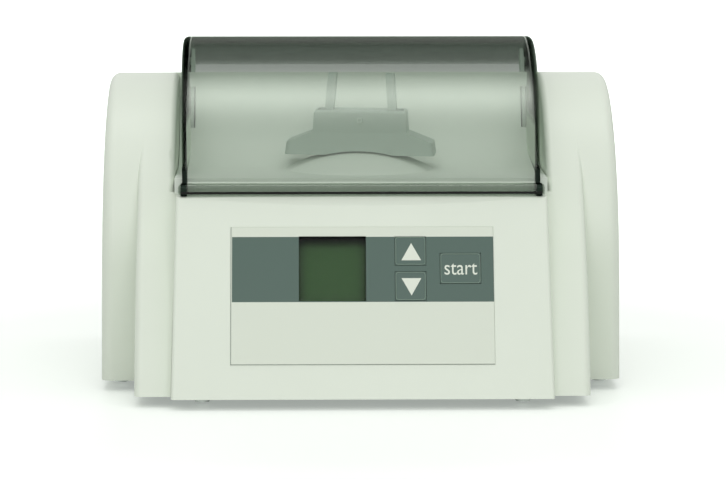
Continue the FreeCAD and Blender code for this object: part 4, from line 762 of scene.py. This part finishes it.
# %% Floor
floor_mesh = bpy.data.meshes.new("floor")
shape = bmesh.new()
bmesh.ops.create_grid(shape, x_segments=1, y_segments=1, size=6.0)
shape.to_mesh(floor_mesh)
shape.free()
floor = bpy.data.objects.new("floor", floor_mesh)
bpy.context.scene.collection.objects.link(floor)
floor_paint = Finish("white_floor", paint(238, 240, 238), 0.5)
far = floor_paint.add("ShaderNodeVectorMath", {"operation": "LENGTH"}, {0: floor_paint.places()}, "Value")
floor_paint.set("Base Color", floor_paint.mix(far.above(0.9, 0.9), paint(219, 221, 218), paint(196, 202, 196)))
tree = floor_paint.tree
path = tree.nodes.new("ShaderNodeLightPath")
seen = Flow(floor_paint, path.outputs["Is Camera Ray"]) + Flow(floor_paint, path.outputs["Is Glossy Ray"])
clear = 1 - floor_paint.add("ShaderNodeMath", {"operation": "MINIMUM"},
                            [Flow(floor_paint, path.outputs["Transparent Depth"]), 1.0])
glow = floor_paint.add("ShaderNodeEmission", None,
                       {"Color": (0.92, 1.0, 0.93, 1), "Strength": seen * clear * (0.36 + far.above(0.45, 0.4) * 0.4 + far.above(1.0, 1.2) * 0.6)})
both = floor_paint.add("ShaderNodeAddShader", None, [Flow(floor_paint, floor_paint.shader.outputs[0]), glow])
tree.links.new(both.socket, tree.nodes["Material Output"].inputs["Surface"])
floor_mesh.materials.append(floor_paint.material)
print("floor made")

# %% World
bpy.context.scene.view_settings.view_transform = "Standard"
world = bpy.data.worlds.new("studio")
bpy.context.scene.world = world
world.use_nodes = True
tree = world.node_tree
ground = tree.nodes["Background"]
ground.inputs["Color"].default_value = (1, 1, 1, 1)
path = tree.nodes.new("ShaderNodeLightPath")
seen = tree.nodes.new("ShaderNodeMath")
seen.operation = "MAXIMUM"
tree.links.new(path.outputs["Is Camera Ray"], seen.inputs[0])
tree.links.new(path.outputs["Is Glossy Ray"], seen.inputs[1])
level = tree.nodes.new("ShaderNodeMath")
level.operation = "MULTIPLY_ADD"
level.inputs[1].default_value, level.inputs[2].default_value = 0.52, 0.48
tree.links.new(seen.outputs[0], level.inputs[0])
tree.links.new(level.outputs[0], ground.inputs["Strength"])
print("world made")

# %% [markdown]
# ## Lamps
# One broad soft lamp above and in front models the cheeks, and a weaker one fills from the camera's
# side. Broad lamps give the long soft highlights that moulded plastic shows in a studio.

# %% Lamps
def soft_lamp(name, place, aim, size, power):
    lamp = bpy.data.lights.new(name, "AREA")
    lamp.shape, lamp.size, lamp.size_y, lamp.energy = "RECTANGLE", size[0], size[1], power
    thing = bpy.data.objects.new(name, lamp)
    thing.location = place
    thing.rotation_euler = (Vector(aim) - Vector(place)).to_track_quat("-Z", "Y").to_euler()
    bpy.context.scene.collection.objects.link(thing)
    return thing


soft_lamp("overhead", (0.0, -0.95, 1.45), (0.0, -0.3, 0.08), (1.8, 1.6), 4.0)
soft_lamp("crown_strip", (0.0, 0.09, 1.5), (0.0, 0.0, 0.08), (1.7, 0.5), 5.5)
soft_lamp("front_fill", (0.0, -1.9, 0.9), (0, 0, 0.08), (1.6, 1.0), 10.5)
print("lamps made")
